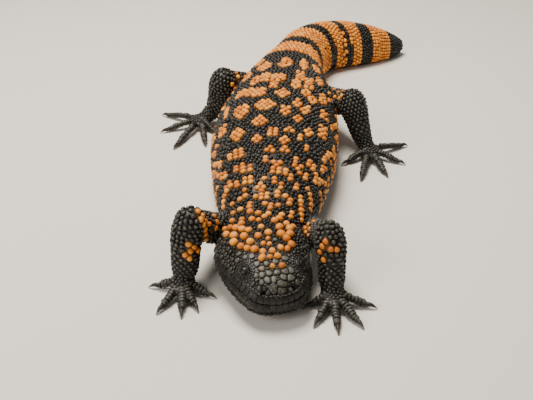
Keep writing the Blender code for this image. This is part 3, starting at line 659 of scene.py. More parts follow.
# Orange beads of the legs by their pixels in the picture
legSpots = {
    "armRight": [
        (198.5, 212.3), (201.6, 215.5), (204.8, 220.9), (200.5, 219.5), (203, 225), (204.5, 229.5),
        (205, 234), (206, 238.5), (199.5, 216), (208.5, 224), (213.5, 216.4), (216.2, 222.3),
        (215.3, 228.2), (211.5, 212.5), (188.5, 243.6), (193.9, 246.8), (190.7, 250.5),
        (197.5, 250.5), (185.3, 254.5), (189.8, 258.2),
    ],
    "armLeft": [
        (313.6, 222.3), (309.5, 224.8), (306, 228.5), (310.5, 229), (306.8, 233), (309.5, 236.5),
        (325.5, 241.4), (322.3, 245.5), (320, 251.4), (331.8, 249.5), (336.2, 249.5),
        (324.5, 260),
    ],
    "legLeft": [(332, 86), (336.2, 85), (340, 88), (334.5, 90), (338.8, 92.5), (342.5, 95.5),
                (331, 94.5), (335.5, 97), (339.5, 98.5), (343.5, 91.5)],
    "legRight": [(241.8, 72.9), (238, 77), (235.5, 88.7), (232, 84), (240, 69.5), (236, 73.5)],
}
legSpotRadius = 1.5

# Each kind of bead: corners of its outline, levels of its form, how far it may fill the space
# round it, the gap it keeps, and its shares of the grey, partly painted highlight, and the brown finish
kinds = {
    # painted highlight: the grey share lightens the tops of the dark, leg and toe beads; on plates and face
    # scales the grey is their own colour
    "dark": {"sides": 8, "form": "plain", "grow": 1.15, "gap": 0.3, "grey": 0.25, "brown": 0},
    "orange": {"sides": 12, "form": "fine", "grow": 1.22, "gap": 0.14, "grey": 0, "brown": 0},
    "plate": {"sides": 14, "form": "fine", "grow": 1.7, "gap": 0.08, "grey": 1, "brown": 0},
    "face": {"sides": 10, "form": "fine", "grow": 1.4, "gap": 0.18, "grey": 0.45, "brown": 0.4},
    "belly": {"sides": 6, "form": "plain", "grow": 1.3, "gap": 0.2, "grey": 0, "brown": 0.3},
    "lip": {"sides": 14, "form": "fine", "grow": 1, "gap": 0, "grey": 0, "brown": 1},
    # the lip edge is paler skin with a painted highlight along it
    "edge": {"sides": 10, "form": "fine", "grow": 1, "gap": 0, "grey": 1, "brown": 0},
    "leg": {"sides": 8, "form": "plain", "grow": 1.18, "gap": 0.22, "grey": 0.9, "brown": 0},
    "toe": {"sides": 12, "form": "fine", "grow": 1, "gap": 0, "grey": 0.7, "brown": 0},
    # the granules have less grey than the face scales: painted shade of the eyes' hollows, on the face's own
    # dark colour
    "granule": {"sides": 8, "form": "fine", "grow": 1.2, "gap": 0.12, "grey": 0.15, "brown": 0.4},
}
kindNames = list(kinds)
squareKinds = [kindNames.index(name) for name in ("lip", "edge", "toe")]
coats = ["head", "shoulders", "loins", "tail", *legs]
coatStarts = [60, 165, 272]
beads = {key: [] for key in ("place", "along", "ra", "rc", "height", "flat", "kind", "hold",
                             "orange", "bend", "coat", "uv", "reach")}
flatBend = 60       # bend radius of beads on the broad surfaces


def addBeads(place, along, ra, rc, height, flat, kind, hold, coat, uv, **other):
    # ra and rc are the radii along the body and across, flat is 0 for a dome and 1 for a plate
    count = len(place)
    if not count:
        return
    beads["place"].append(np.asarray(place, float))
    beads["along"].append(np.broadcast_to(np.asarray(along, float), (count, 3)))
    values = {"ra": ra, "rc": rc, "height": height, "flat": flat, "hold": hold,
              "orange": float(kind == "orange"), "bend": flatBend, "reach": 2.5, **other}
    for key, value in values.items():
        beads[key].append(np.broadcast_to(np.asarray(value, float), (count,)))
    beads["kind"].append(np.full(count, kindNames.index(kind)))
    beads["coat"].append(np.broadcast_to(np.asarray(coat, int), (count,)))
    beads["uv"].append(np.asarray(uv, float).reshape(-1, 2))


def coatOf(s):
    return np.searchsorted(coatStarts, s, side="right")


def widthsAt(s):
    return np.stack([np.interp(s, beadSizes["along"], column)
                     for column in beadSizes["widths"].T], -1)


def bodyUv(s, angle):
    turn = (angle + 0.75 * math.pi) / (2 * math.pi) % 1.0      # the cut runs under the belly
    return np.stack([0.02 + 0.96 * s / body["length"], 0.03 + 0.94 * turn], -1)


def direction(s, angle):
    return unit(bodyPoint(s - 0.8, angle) - bodyPoint(s + 0.8, angle))


def addOnBody(s, angle, ra, rc, height, flat, kind, hold, **other):
    s, angle = np.asarray(s, float), np.asarray(angle, float)
    if len(s):
        addBeads(onSnout(s, angle), direction(s, angle), ra, rc, height, flat, kind, hold,
                 coatOf(s), bodyUv(s, angle), **other)


def rowsOver(start, end, column, packing=0.87, jitter=0.0):
    # staggered rows round the body; column says which width sets their step
    found = []
    s, row = start, 0
    angles = np.linspace(-math.pi, math.pi, 361)
    while s < end:
        width = widthsAt(s)[column]
        run = runningLength(skinPoint(s, angles))
        count = max(4, round(run[-1] / width))
        shake = dice.uniform(-jitter, jitter, (2, count))
        at = (np.arange(count) + 0.5 * (row % 2) + 0.25 + shake[0]) / count * run[-1]
        found.append(np.stack([s + shake[1] * width, np.interp(at, run, angles)], -1))
        s += width * packing
        row += 1
    return np.vstack(found)


def wave(s, angle, seed):
    # a slow wobble for the edges of rings
    return (np.sin(3.1 * angle + seed) + 0.7 * np.sin(5.3 * angle + 2.1 * seed)) * 0.35


def inTailOrange(s, angle, clear):
    share = np.degrees(angle) % 360
    share = np.where(share > 270, 0, share)
    isOrange = s > tailRings[0][1]
    for i, (atLeft, greyAndHighlightOnTop, atRight, wide, wideOnTop) in enumerate(tailRings):
        centre = np.interp(share, [0, 90, 180, 270], [atLeft, greyAndHighlightOnTop, atRight, atRight])
        width = np.interp(share, [0, 70, 110, 180], [wide, wideOnTop, wideOnTop, wide])
        isOrange &= np.abs(s - centre) > width / 2 + clear + wave(s, angle, i)
    return isOrange


def followRings(rows):
    # rows of the tail lean with its rings
    leans = np.array([(left + right) / 2 - right for left, _, right, *_ in tailRings])
    leans = np.interp(rows[:, 0], [ring[1] for ring in tailRings], leans)
    rows[:, 0] += np.where(rows[:, 0] > 285, leans * np.cos(rows[:, 1]), 0)
    return rows


def isBelly(angle):
    down = np.degrees((angle + math.pi) % (2 * math.pi) - math.pi)
    return (down < beadSizes["bellyFrom"]) & (down > -180 - beadSizes["bellyFrom"])


# Orange beads: the crown's as listed, then patches, bars and the flanks in between
chosen = []


def tryBead(s, angle, radius, share=0.9, clear=0.0):
    place = skinPoint(s, angle)
    if chosen:
        stack = np.array([(*row[0], row[1]) for row in chosen])
        gaps = np.linalg.norm(stack[:, :3] - place, axis=1) - share * (stack[:, 3] + radius)
        if gaps.min() < clear:
            return
    chosen.append((place, radius, s, angle))


def perDegree(s, degrees):
    ends = skinPoint(s, np.radians([degrees - 1, degrees + 1]))
    return np.linalg.norm(ends[1] - ends[0]) / 2


def fillPatch(s, degrees, halfAlong, halfRound):
    radius = widthsAt(s)[1] / 2
    step = perDegree(s, degrees)
    reachAlong = max(halfAlong - 0.85 * radius, 0.1)
    reachRound = max(halfRound * step - radius, 0.1)
    rows = round(2 * reachAlong / (1.74 * radius))
    parity = (round(reachRound / radius) + rows // 2) % 2
    for i in range(rows + 1):
        x = (i - rows / 2) * 1.74 * radius
        halfRow = reachRound * math.sqrt(max(0, 1 - (x / (reachAlong + 0.8 * radius)) ** 2))
        wanted = halfRow / radius
        count = round(wanted)
        if wanted > 0.7 and (count + i) % 2 != parity:      # a row lies in the gaps of the last
            count += 1 if wanted > count + 0.25 else -1
        step = perDegree(s + x, degrees)
        for j in range(count + 1):
            y = (j - count / 2) * 2 * radius
            tryBead(s + x, math.radians(degrees + y / step), radius * dice.uniform(0.93, 1.07), 0.8)


def fillStroke(halfAlong, points):
    line = np.array(points, float)
    run = runningLength(skinPoint(line[:, 0], np.radians(line[:, 1])))
    radius = widthsAt(line[0, 0])[1] / 2
    for at in np.arange(0, run[-1] + radius, 2 * radius):
        s, degrees = (np.interp(at, run, column) for column in line.T)
        fillPatch(s, degrees, halfAlong, 0.1)


for s, degrees, radius in crownBeads:
    chosen.append((skinPoint(s, math.radians(degrees)), 1.16 * radius, s, math.radians(degrees)))
for patch in backPatches:
    fillPatch(*patch)
for halfAlong, points in flankStrokes:
    fillStroke(halfAlong, points)
measured = np.array([row[0] for row in chosen])
for isLeft in (True, False):
    for k, s in enumerate(np.arange(flankBars["from"], flankBars["to"], flankBars["step"])):
        top, bottom = dice.uniform(-1, 1, 2) * flankBars["uneven"] + (flankBars["top"], flankBars["bottom"])
        sides = (0,) if dice.random() < flankBars["narrow"] else (-1.7, 1.7)
        bow = dice.uniform(-0.16, 0.2)
        for degrees in np.arange(top, bottom, -3.0):
            lean = s + 3 * math.sin(1.7 * k + (0 if isLeft else 2)) + bow * (34 - degrees)
            angle = math.radians(degrees if isLeft else 180 - degrees)
            for aside in sides:
                gap = np.linalg.norm(measured - skinPoint(lean + aside, angle), axis=1).min()
                if gap > flankBars["clear"]:
                    tryBead(lean + aside, angle, widthsAt(s)[1] / 2, 0.95)
print("orange beads of head and back:", len(chosen))

orangeS, orangeAngle, orangeRadius = np.array([(row[2], row[3], row[1]) for row in chosen]).T
tailRows = followRings(rowsOver(286, 455, 1, 0.87, 0.06))
keep = inTailOrange(tailRows[:, 0], tailRows[:, 1], 0.8 * widthsAt(tailRows[:, 0])[:, 1] / 2)
tailRows = tailRows[keep & ~isBelly(tailRows[:, 1])]
orangeS = np.concatenate([orangeS, tailRows[:, 0]])
orangeAngle = np.concatenate([orangeAngle, tailRows[:, 1]])
orangeRadius = np.concatenate([orangeRadius, widthsAt(tailRows[:, 0])[:, 1] / 2])
addOnBody(orangeS, orangeAngle, orangeRadius, orangeRadius,
          beadSizes["orangeHeight"] * orangeRadius, 0.12, "orange",
          np.where(orangeS < 60, 0.9, 0.8), orange=np.where(orangeS < 15, 0.7, 1))

# Plates of snout and brow
for plates, kind, tint in ((browPlates, "plate", 0), (snoutPlates, "plate", 0),
                           (palePlates, "plate", 0.05)):
    s, degrees, radius = np.array(plates).T
    addOnBody(s, np.radians(degrees), radius, radius, 0.7, 0.8, kind, 0.8, orange=tint)

# Lip plates, one tall row above the mouth and two below it, and the pale edge over them, paler skin with a
# painted highlight
lipRows = [(2.15, 3.0, 3.9, 0.34), (-1.7, 3.1, 3.0, 0.32), (-4.4, 3.0, 2.5, 0.3)]
for lift, width, tall, height in lipRows:
    line, rows = lipLine(lift, 36)
    run = runningLength(line)
    count = round(run[-1] / width)
    at = (np.arange(count) + 0.5) * run[-1] / count
    places = np.stack([np.interp(at, run, column) for column in line.T], -1)
    s, angle = (np.interp(at, run, column) for column in rows.T)
    addBeads(places, unit(np.gradient(places, axis=0)), run[-1] / count / 2 - 0.03, tall / 2, height,
             0.8, "lip", 1, 0, bodyUv(s, angle), bend=14)
edge = np.array(lipEdge, float)
run = runningLength(onSnout(edge[:, 0], np.radians(edge[:, 1])))
at = np.arange(0.6, run[-1], 1.9)
s, angle = np.interp(at, run, edge[:, 0]), np.radians(np.interp(at, run, edge[:, 1]))
addBeads(onSnout(s, angle), unit(np.gradient(onSnout(s, angle), axis=0)), 0.92, 0.45, 0.8, 0.3,
         "edge", 1, 0, bodyUv(s, angle), bend=14)

# Granules round the eyes, in rings that grow from the lids' edges
lidRings = [(0.7, 0.40), (1.6, 0.55), (2.8, 0.78)]     # how far outside the opening, and size
for node, eye in eyes.items():
    for ring, (grow, size) in enumerate(lidRings):
        halfLong, halfTall = (half + grow for half in face["eyeOpening"])
        count = round(math.pi * (halfLong + halfTall) / (2.15 * size))
        turn = (np.arange(count) + 0.5 * (ring % 2)) * 2 * math.pi / count
        a, b = np.cos(turn) * halfLong, np.sin(turn) * halfTall
        lidHeight = np.sqrt(np.maximum((eye["radius"] + face["lid"]) ** 2 - a * a - b * b, 0.3))
        places = (eye["centre"] + np.outer(a, eye["forward"]) + np.outer(b, eye["up"])
                  + np.outer(lidHeight, eye["out"]))
        ahead = np.outer(-np.sin(turn), eye["forward"]) + np.outer(np.cos(turn), eye["up"])
        uv = np.stack([0.05 + 0.005 * np.cos(turn) * (3 + ring) + 0.02 * (node == "eye_left"),
                       0.5 + 0.005 * np.sin(turn) * (3 + ring)], -1)
        addBeads(places, ahead, size * 1.1, size, 0.4, 0.25, "granule", 1, 0, uv, reach=3)

# Rows of dark beads and of belly scales over the whole body
darkRows = followRings(rowsOver(61, 456.5, 0, 0.87, beadSizes["jitter"]))
darkRows[:, 0] = np.minimum(darkRows[:, 0], 456.6)
darkRows = darkRows[~isBelly(darkRows[:, 1])]
s, angle = darkRows.T
radius = widthsAt(s)[:, 0] / 2 * dice.uniform(0.86, 1.14, len(s))
addOnBody(s, angle, radius, radius, beadSizes["darkHeight"] * radius, 0.12, "dark", 0, reach=2.2)
bellyRows = rowsOver(4, 455, 2, 0.95, 0.04)
bellyRows = bellyRows[isBelly(bellyRows[:, 1])]
s, angle = bellyRows.T
radius = widthsAt(s)[:, 2] / 2
blotch = np.sin(s / 9 + 2 * np.sin(angle * 2.3)) * np.sin(angle * 5 + s / 21)
tint = np.where(s > 290, inTailOrange(s, angle, 0.8), (blotch > 0.25) & (s > 62))
addOnBody(s, angle, radius, radius, beadSizes["bellyHeight"], 0.85, "belly", 0, reach=1.4, orange=tint)

# Head: the skin's own points are tried in random order, which spreads the beads evenly
headWidths = {"crown": 2.3, "brow": 2.9, "snout": 3.0, "cheek": 3.2, "jaw": 2.9, "underEye": 2.5}


def headWidth(s, angle):
    down = downFromCrown(angle)
    width = np.full(np.shape(s), headWidths["cheek"])
    width = np.where(down > 100, headWidths["jaw"], width)
    width = np.where((s < 14) & (down > 40), headWidths["underEye"], width)
    width = np.where(down < 60, headWidths["brow"], width)
    width = np.where((down < 48) & (s > 22), headWidths["crown"], width)
    width = np.where((down < 45) & (s < 16), headWidths["snout"], width)
    return width


grid = np.array([(s, angle) for s in (0.02, 0.1, *np.arange(0.3, 63, 0.6))
                 for angle in np.radians(np.arange(-180, 180, 2.0))])
gridTree = pointTree(onSnout(grid[:, 0], grid[:, 1]))
headVerts = co[(co[:, 1] < -88) & (co[:, 0] > -36) & (co[:, 0] < 26)]
headVerts = headVerts[dice.permutation(len(headVerts))]
matches = [gridTree.find(place) for place in headVerts]
offBody = np.array([match[2] for match in matches])
s, angle = grid[[match[1] for match in matches]].T
isFront = (headVerts[:, 1] < -146) & (headVerts[:, 2] > 6)
isLid = np.min([np.linalg.norm(headVerts - eye["centre"], axis=1) for eye in eyes.values()], 0) < 9
keep = ((offBody < 2.2) | isFront | isLid) & (s < 61) & ~(isBelly(angle) & (s > 4))
s, angle, place = s[keep], angle[keep], headVerts[keep]
radius = headWidth(s, angle) / 2 * dice.uniform(0.86, 1.14, len(s))
taken = np.vstack(beads["place"])
takenRadius = np.sqrt(np.concatenate(beads["ra"]) * np.concatenate(beads["rc"]))
near = np.linalg.norm(taken - bodyPoint(30, math.pi / 2), axis=1) < 48
stack = np.zeros((near.sum() + len(s), 4))
filled = near.sum()
stack[:filled] = np.column_stack([taken[near], takenRadius[near]])
picked = []
for share, part in ((0.92, 1), (0.86, 0.72), (0.86, 0.46)):      # smaller ones in what is left
    for i in range(len(s)):
        size = radius[i] * part
        gaps = np.linalg.norm(stack[:filled, :3] - place[i], axis=1)
        if (gaps > share * (stack[:filled, 3] + size)).all():
            stack[filled] = (*place[i], size)
            filled += 1
            picked.append((i, size))
index = np.array([row[0] for row in picked])
radius = np.array([row[1] for row in picked])
s, angle, place = s[index], angle[index], place[index]
down = downFromCrown(angle)
isFace = ((s < 24) & (down < 100)) | ((down > 48) & (s < 50)) | (down > 70)
for kind, pick in (("face", isFace), ("dark", ~isFace)):
    isPlate = kind == "face"
    addBeads(place[pick], direction(s[pick], angle[pick]), radius[pick], radius[pick],
             radius[pick] * (0.75 if isPlate else 1.05), 0.45 if isPlate else 0.12, kind, 0,
             coatOf(s[pick]), bodyUv(s[pick], angle[pick]))
print("head beads:", len(picked))

# Legs: rows round each tube, then the backs of the hands and feet, then plates along the toes
legBeads = {"width": 2.6, "wristWidth": 1.75, "palmWidth": 1.9, "toeStep": 1.85, "height": 1.05,
            "jitter": 0.14, "bandFrom": 0.5, "bandWide": 1.65, "toeHeight": 0.62, "toeTop": 74, "toeSide": 36}
for name, leg in legs.items():
    coat = coats.index(name)
    for part, top in (("upper", 0.0), ("lower", 0.5)):
        guide = leg[part] if part == "upper" else roundedStart(leg[part])
        total = runningLength(np.array(guide, float)[:, :3])[-1]
        at, row = 0.5, 0
        while at < total:
            share = at / total
            last = legBeads["wristWidth"] if part == "lower" else legBeads["width"]
            width = np.interp(share, [0, 0.5, 1], [legBeads["width"], legBeads["width"], last])
            guideFrame = guideFrames(guide, [max(share, 0.02)])[0]
            radius = guideFrame[3] - legSkinInset
            isBand = part == "lower" and share > legBeads["bandFrom"]
            across = width * (legBeads["bandWide"] if isBand else 1)
            count = max(5, round(2 * math.pi * radius / across))
            jitter = legBeads["jitter"] * (0.4 if isBand else 1)
            shake = dice.uniform(-jitter, jitter, (2, count))
            turn = (np.arange(count) + 0.5 * (row % 2) + shake[0]) * 2 * math.pi / count
            places = ringAt(guideFrame, turn, -legSkinInset) + np.outer(shake[1] * width, guideFrame[4])
            uv = np.stack([np.full(count, 0.04 + 0.4 * share + top * 0.9),
                           0.04 + 0.4 * turn / (2 * math.pi)], -1)
            sizes = width / 2 * dice.uniform(0.92, 1.08, count)
            addBeads(places, guideFrame[4], sizes * (0.94 if isBand else 1), sizes * across / width,
                     legBeads["height"] * sizes * (0.8 if isBand else 1), 0.12, "leg", 0, coat, uv,
                     bend=radius, reach=2.0)
            at += width * 0.87
            row += 1
    palm, size = palmForm(leg)
    width = legBeads["palmWidth"]
    for level in np.arange(0.05, 1.5, width / size.mean()):
        ringSize = math.cos(level)
        count = max(1, round(2 * math.pi * size[:2].mean() * ringSize / width))
        turn = np.arange(count) * 2 * math.pi / count + level
        places = palm + np.stack([np.cos(turn) * ringSize * size[0],
                                  np.sin(turn) * ringSize * size[1],
                                  np.full(count, math.sin(level) * size[2])], -1)
        uv = np.stack([0.7 + 0.09 * np.cos(turn) * ringSize, 0.7 + 0.09 * np.sin(turn) * ringSize], -1)
        outward = unit(np.array([*(np.mean(leg["tips"], axis=0) - np.array(leg["palm"])), 0.0]))
        addBeads(places, outward, width / 2, width / 2, 0.75, 0.2, "leg", 0, coat, uv,
                 bend=8, reach=1.8)
    for number, tip in enumerate(leg["tips"]):
        guide = toeGuide(leg, tip)
        total = runningLength(np.array(guide, float)[:, :3])[-1]
        for row, at in enumerate(np.arange(total * 0.28, total - 0.3, legBeads["toeStep"])):
            guideFrame = guideFrames(guide, [at / total])[0]
            radius = guideFrame[3] - toe["inset"]
            upright = math.degrees(math.atan2(guideFrame[2][2], guideFrame[1][2]))
            for turned, half in ((0, "toeTop"), (112, "toeSide"), (-112, "toeSide")):
                places = ringAt(guideFrame, np.radians([upright + turned]), -toe["inset"])
                uv = np.array([0.04 + 0.02 * row, 0.5 + 0.08 * number + 0.0001 * (turned + 112)])
                addBeads(places, guideFrame[4], legBeads["toeStep"] / 2 - 0.06,
                         radius * math.radians(legBeads[half]) - 0.08, legBeads["toeHeight"], 0.1,
                         "toe", 1, coat, uv, bend=radius, reach=1.6)

# The legs' orange beads, where the picture shows them; each takes its nearest neighbour's patch
for name, pixels in legSpots.items():
    hits = [underPixel(*pixel) for pixel in pixels]
    places = np.array([hit for hit in hits if hit is not None])
    isHere = np.concatenate(beads["coat"]) == coats.index(name)
    nearby = pointTree(np.vstack(beads["place"])[isHere])
    uv = np.vstack(beads["uv"])[isHere][[nearby.find(place)[1] for place in places]]
    addBeads(places, (0, 0, -1), legSpotRadius, legSpotRadius, legSpotRadius, 0.12, "orange", 0.8,
             coats.index(name), uv + 0.003, bend=8)

beads = {key: np.concatenate(value) for key, value in beads.items()}
print("beads set out:", len(beads["place"]))


def keepBeads(mask):
    for key in beads:
        beads[key] = beads[key][mask]


spots, facing, far = ontoSkin(beads["place"])
mask = far < beads["reach"]
keepBeads(mask)
spots, facing = spots[mask], facing[mask]


def neighbours(places, count):
    tree = pointTree(places)
    table = np.zeros((len(places), count), int)
    for i, place in enumerate(places):
        found = [item[1] for item in tree.find_n(place, count + 1) if item[1] != i][:count]
        table[i] = found + [found[-1]] * (count - len(found))
    return table


def meanRadius():
    # the legs' long beads lie close row by row
    mean = np.sqrt(beads["ra"] * beads["rc"])
    isLeg = beads["kind"] == kindNames.index("leg")
    return np.where(isLeg, np.minimum(mean, 1.1 * beads["ra"]), mean)


# A bead that lies mostly under an earlier one goes; the lips, lids, toes and orange beads stay
rank = np.where(beads["hold"] >= 1, 5, 0) + np.where(beads["orange"] == 1, 4, 0) + beads["hold"]
for limit in (0.72, 0.66):
    table = neighbours(spots, 10)
    radius = meanRadius()
    gaps = np.linalg.norm(spots[table] - spots[:, None], axis=2)
    # none stays in the hollows of an orange patch
    isMixed = beads["orange"][:, None] != beads["orange"][table]
    close = gaps < (limit + 0.08 * isMixed) * (radius[:, None] + radius[table])
    index = np.arange(len(spots))[:, None]
    beaten = close & ((rank[table] > rank[:, None]) | ((rank[table] == rank[:, None]) & (table < index)))
    # plates of one row keep to their own spacing
    isSquare = np.isin(beads["kind"], squareKinds)
    beaten &= ~(isSquare[:, None] & isSquare[table])
    mask = ~beaten.any(axis=1)
    keepBeads(mask)
    spots, facing, rank = spots[mask], facing[mask], rank[mask]
print("beads kept:", len(spots))

settle = {"times": 10, "share": 1.02, "step": 0.45}
for turn in range(settle["times"]):
    if turn % 3 == 0:
        table = neighbours(spots, 9)
    radius = meanRadius()
    apart = spots[:, None] - spots[table]
    gaps = np.linalg.norm(apart, axis=2)
    lack = np.maximum(0, settle["share"] * (radius[:, None] + radius[table]) - gaps)
    yielding = (1 - beads["hold"])[:, None] * 0.5
    push = np.sum(apart / np.maximum(gaps, 0.05)[..., None] * (lack * yielding)[..., None], axis=1)
    size = np.linalg.norm(push, axis=1, keepdims=True)
    push *= np.minimum(1, settle["step"] / np.maximum(size, 1e-6))
    spots, facing, _ = ontoSkin(spots + push)
print("beads settled")

# No bead over an eye's opening, a nostril, an ear or the mouth line
mask = np.ones(len(spots), bool)
for eye in eyes.values():
    offset = spots - eye["centre"]
    a, b = offset @ eye["forward"], offset @ eye["up"]
    q = np.sqrt((a / (face["eyeOpening"][0] + 0.2)) ** 2 + (b / (face["eyeOpening"][1] + 0.2)) ** 2)
    mask &= ~((q < 1) & (np.linalg.norm(offset, axis=1) < 6))
for (name, isLeft), (place, forward, up) in pits.items():
    offset = spots - place
    q = np.sqrt((offset @ forward / (face[name][0] + 0.5)) ** 2
                + (offset @ up / (face[name][1] + 0.5)) ** 2)
    mask &= ~((q < 1) & (np.linalg.norm(offset, axis=1) < 5))
mask &= (nearestOn(spots, mouth) > 0.75) | (beads["coat"] > 0)
keepBeads(mask)
spots, facing = spots[mask], facing[mask]

# The beads' outlines, each shaped by those around it
crowd = {"sharp": 9, "look": 9}
table = neighbours(spots, crowd["look"])
alongDir = unit(beads["along"] - facing * np.sum(beads["along"] * facing, 1, keepdims=True))
acrossDir = np.cross(facing, alongDir)
growth, gapWidth, greyAndHighlightShare, brownShare = (
    np.array([kinds[name][key] for name in kindNames])[beads["kind"]]
    for key in ("grow", "gap", "grey", "brown"))


def radiusTowards(ra, rc, turn):
    return ra * rc / np.sqrt((rc * np.cos(turn)) ** 2 + (ra * np.sin(turn)) ** 2)


apart = spots[table] - spots[:, None]
px = np.sum(apart * alongDir[:, None], 2)
py = np.sum(apart * acrossDir[:, None], 2)
gaps = np.hypot(px, py)
bearing = np.arctan2(py, px)
own = radiusTowards(beads["ra"][:, None], beads["rc"][:, None], bearing)
bearingBack = np.arctan2(np.sum(-apart * acrossDir[table], 2), np.sum(-apart * alongDir[table], 2))
other = radiusTowards(beads["ra"][table], beads["rc"][table], bearingBack)
border = gaps * own / (own + other) - gapWidth[:, None] / 2


def outlines(pick, sides, isSquare):
    ra, rc = beads["ra"][pick][:, None], beads["rc"][pick][:, None]
    if isSquare:
        turn = np.arange(sides)[None, :] * 2 * math.pi / sides + math.pi / sides
        corner = 0.45
        return ra * signedPower(np.cos(turn), corner), rc * signedPower(np.sin(turn), corner)
    spin = dice.random(len(pick))[:, None] * 2 * math.pi / sides
    turn = np.arange(sides)[None, :] * 2 * math.pi / sides + spin
    circle = radiusTowards(ra, rc, turn) * growth[pick][:, None]
    lean = np.cos(turn[:, None, :] - bearing[pick][:, :, None])
    reach = border[pick][:, :, None] / np.maximum(lean, 0.12)
    reach = np.where(lean > 0.12, np.maximum(reach, 0.25), 1e3)
    total = circle ** -crowd["sharp"] + np.sum(reach ** -crowd["sharp"], axis=1)
    reach = total ** (-1 / crowd["sharp"])
    return np.cos(turn) * reach, np.sin(turn) * reach


# Share of the outline and of the height, level by level, for a dome and for a flat plate
forms = {
    "fine": [((1.0, -0.6), (1.0, -0.5)), ((0.98, 0.16), (0.99, 0.4)), ((0.84, 0.62), (0.9, 0.82)),
             ((0.5, 0.91), (0.6, 0.97))],
    "plain": [((1.0, -0.6), (1.0, -0.5)), ((0.94, 0.34), (0.96, 0.6)), ((0.58, 0.84), (0.68, 0.95))],
}
rootDepth = 0.6


def beadForms(members, sides, form, isSquare):
    # the points of many like beads at once, ring by ring and the top last
    x, y = outlines(members, sides, isSquare)
    flat = beads["flat"][members][:, None]
    height = beads["height"][members] * dice.uniform(0.9, 1.1, len(members))
    bend = beads["bend"][members][:, None]
    points, rises, local = [], [], []
    wide = np.maximum(np.hypot(x, y).max(axis=1, keepdims=True), 1e-6)
    for (shareDome, liftDome), (sharePlate, liftPlate) in forms[form] + [((0, 1), (0, 1))]:
        share = shareDome + (sharePlate - shareDome) * flat
        lift = (liftDome + (liftPlate - liftDome) * flat) * height[:, None]
        lift = np.where(lift < 0, -rootDepth, lift)
        count = sides if shareDome else 1
        turn = y[:, :count] * share / bend
        reach = bend + lift
        points.append(spots[members][:, None]
                      + (x[:, :count] * share)[..., None] * alongDir[members][:, None]
                      + (np.sin(turn) * reach)[..., None] * acrossDir[members][:, None]
                      + (np.cos(turn) * reach - bend)[..., None] * facing[members][:, None])
        rises.append(np.full((len(members), count), max(0.0, liftDome)))
        local.append(np.stack([x[:, :count], y[:, :count]], -1) * (share / wide)[..., None])
    return [np.concatenate(parts, axis=1) for parts in (points, rises, local)]


# no bead reaches past the solids' box
boxLow = np.maximum(np.array(cadBox[0]) / mm + 0.1, (-1e3, -1e3, 0.12))
boxHigh = np.array(cadBox[1]) / mm - 0.1


def buildCoat(name, pick, material):
    # one joined mesh: all the beads of a coat, each closed under the skin
    columns = {key: [] for key in ("co", "uv", "orange", "tone", "rise", "grey", "brown")}
    loops, sizes = [], []
    start = 0
    for number, kind in enumerate(kindNames):
        members = pick[beads["kind"][pick] == number]
        if not len(members):
            continue
        sides, form = kinds[kind]["sides"], kinds[kind]["form"]
        points, rises, local = beadForms(members, sides, form, number in squareKinds)
        points = np.clip(points, boxLow, boxHigh)
        rings = len(forms[form])
        perBead = sides * rings + 1
        template = [list(range(sides))[::-1]]
        for k in range(rings):
            for j in range(sides):
                n = (j + 1) % sides
                upper = [perBead - 1] if k == rings - 1 else [(k + 1) * sides + n, (k + 1) * sides + j]
                template.append([k * sides + j, k * sides + n, *upper])
        flatTemplate = np.concatenate(template)
        count = len(members)
        loops.append((flatTemplate[None, :] + (np.arange(count) * perBead)[:, None] + start).ravel())
        sizes.append(np.tile([len(face) for face in template], count))
        uv = beads["uv"][members][:, None, :] + local * 0.0015
        columns["uv"].append(uv[:, flatTemplate].reshape(-1, 2))
        columns["co"].append(points.reshape(-1, 3) * mm)
        columns["rise"].append(rises.ravel())
        for key, values in (("orange", beads["orange"][members]), ("tone", dice.random(count)),
                            ("grey", greyAndHighlightShare[members]), ("brown", brownShare[members])):
            columns[key].append(np.repeat(values, perBead))
        start += count * perBead
    columns = {key: np.concatenate(values) for key, values in columns.items()}
    loops, sizes = np.concatenate(loops), np.concatenate(sizes)
    mesh = bpy.data.meshes.new(name)
    mesh.vertices.add(len(columns["co"]))
    mesh.vertices.foreach_set("co", columns["co"].ravel())
    mesh.loops.add(len(loops))
    mesh.loops.foreach_set("vertex_index", loops)
    mesh.polygons.add(len(sizes))
    mesh.polygons.foreach_set("loop_start", np.concatenate([[0], np.cumsum(sizes)[:-1]]))
    mesh.polygons.foreach_set("loop_total", sizes)
    mesh.update(calc_edges=True)
    mesh.validate()
    mesh.uv_layers.new(name="OFBake").uv.foreach_set("vector", columns["uv"].ravel())
    for label in ("orange", "tone", "rise", "grey", "brown"):
        addAttribute(mesh, label, columns[label])
    mesh.shade_smooth()
    mesh.materials.append(material)
    print(name, len(pick), "beads,", int((sizes - 2).sum()), "triangles")
    return newObject(name, mesh)


# Finishes
def newMaterial(name):
    material = bpy.data.materials.new(name)
    material.use_nodes = True
    nodes, links = material.node_tree.nodes, material.node_tree.links
    return material, nodes, links, nodes["Principled BSDF"]


def attributeOf(nodes, name):
    node = nodes.new("ShaderNodeAttribute")
    node.attribute_name = name
    return node.outputs["Fac"]


def noiseOf(nodes, links, place, scale, detail):
    node = nodes.new("ShaderNodeTexNoise")
    node.inputs["Scale"].default_value = scale
    node.inputs["Detail"].default_value = detail
    links.new(place, node.inputs["Vector"])
    return node.outputs["Fac"]


def ramp(nodes, links, source, stops):
    node = nodes.new("ShaderNodeValToRGB")
    links.new(source, node.inputs["Fac"])
    while len(node.color_ramp.elements) < len(stops):
        node.color_ramp.elements.new(0.5)
    for element, (at, colour) in zip(node.color_ramp.elements, stops):
        element.position = at
        element.color = (*colour, 1)
    return node.outputs["Color"]


def fitted(nodes, links, source, fromMin, fromMax, toMin, toMax):
    node = nodes.new("ShaderNodeMapRange")
    for key, value in (("From Min", fromMin), ("From Max", fromMax), ("To Min", toMin),
                       ("To Max", toMax)):
        node.inputs[key].default_value = value
    links.new(source, node.inputs["Value"])
    return node.outputs["Result"]


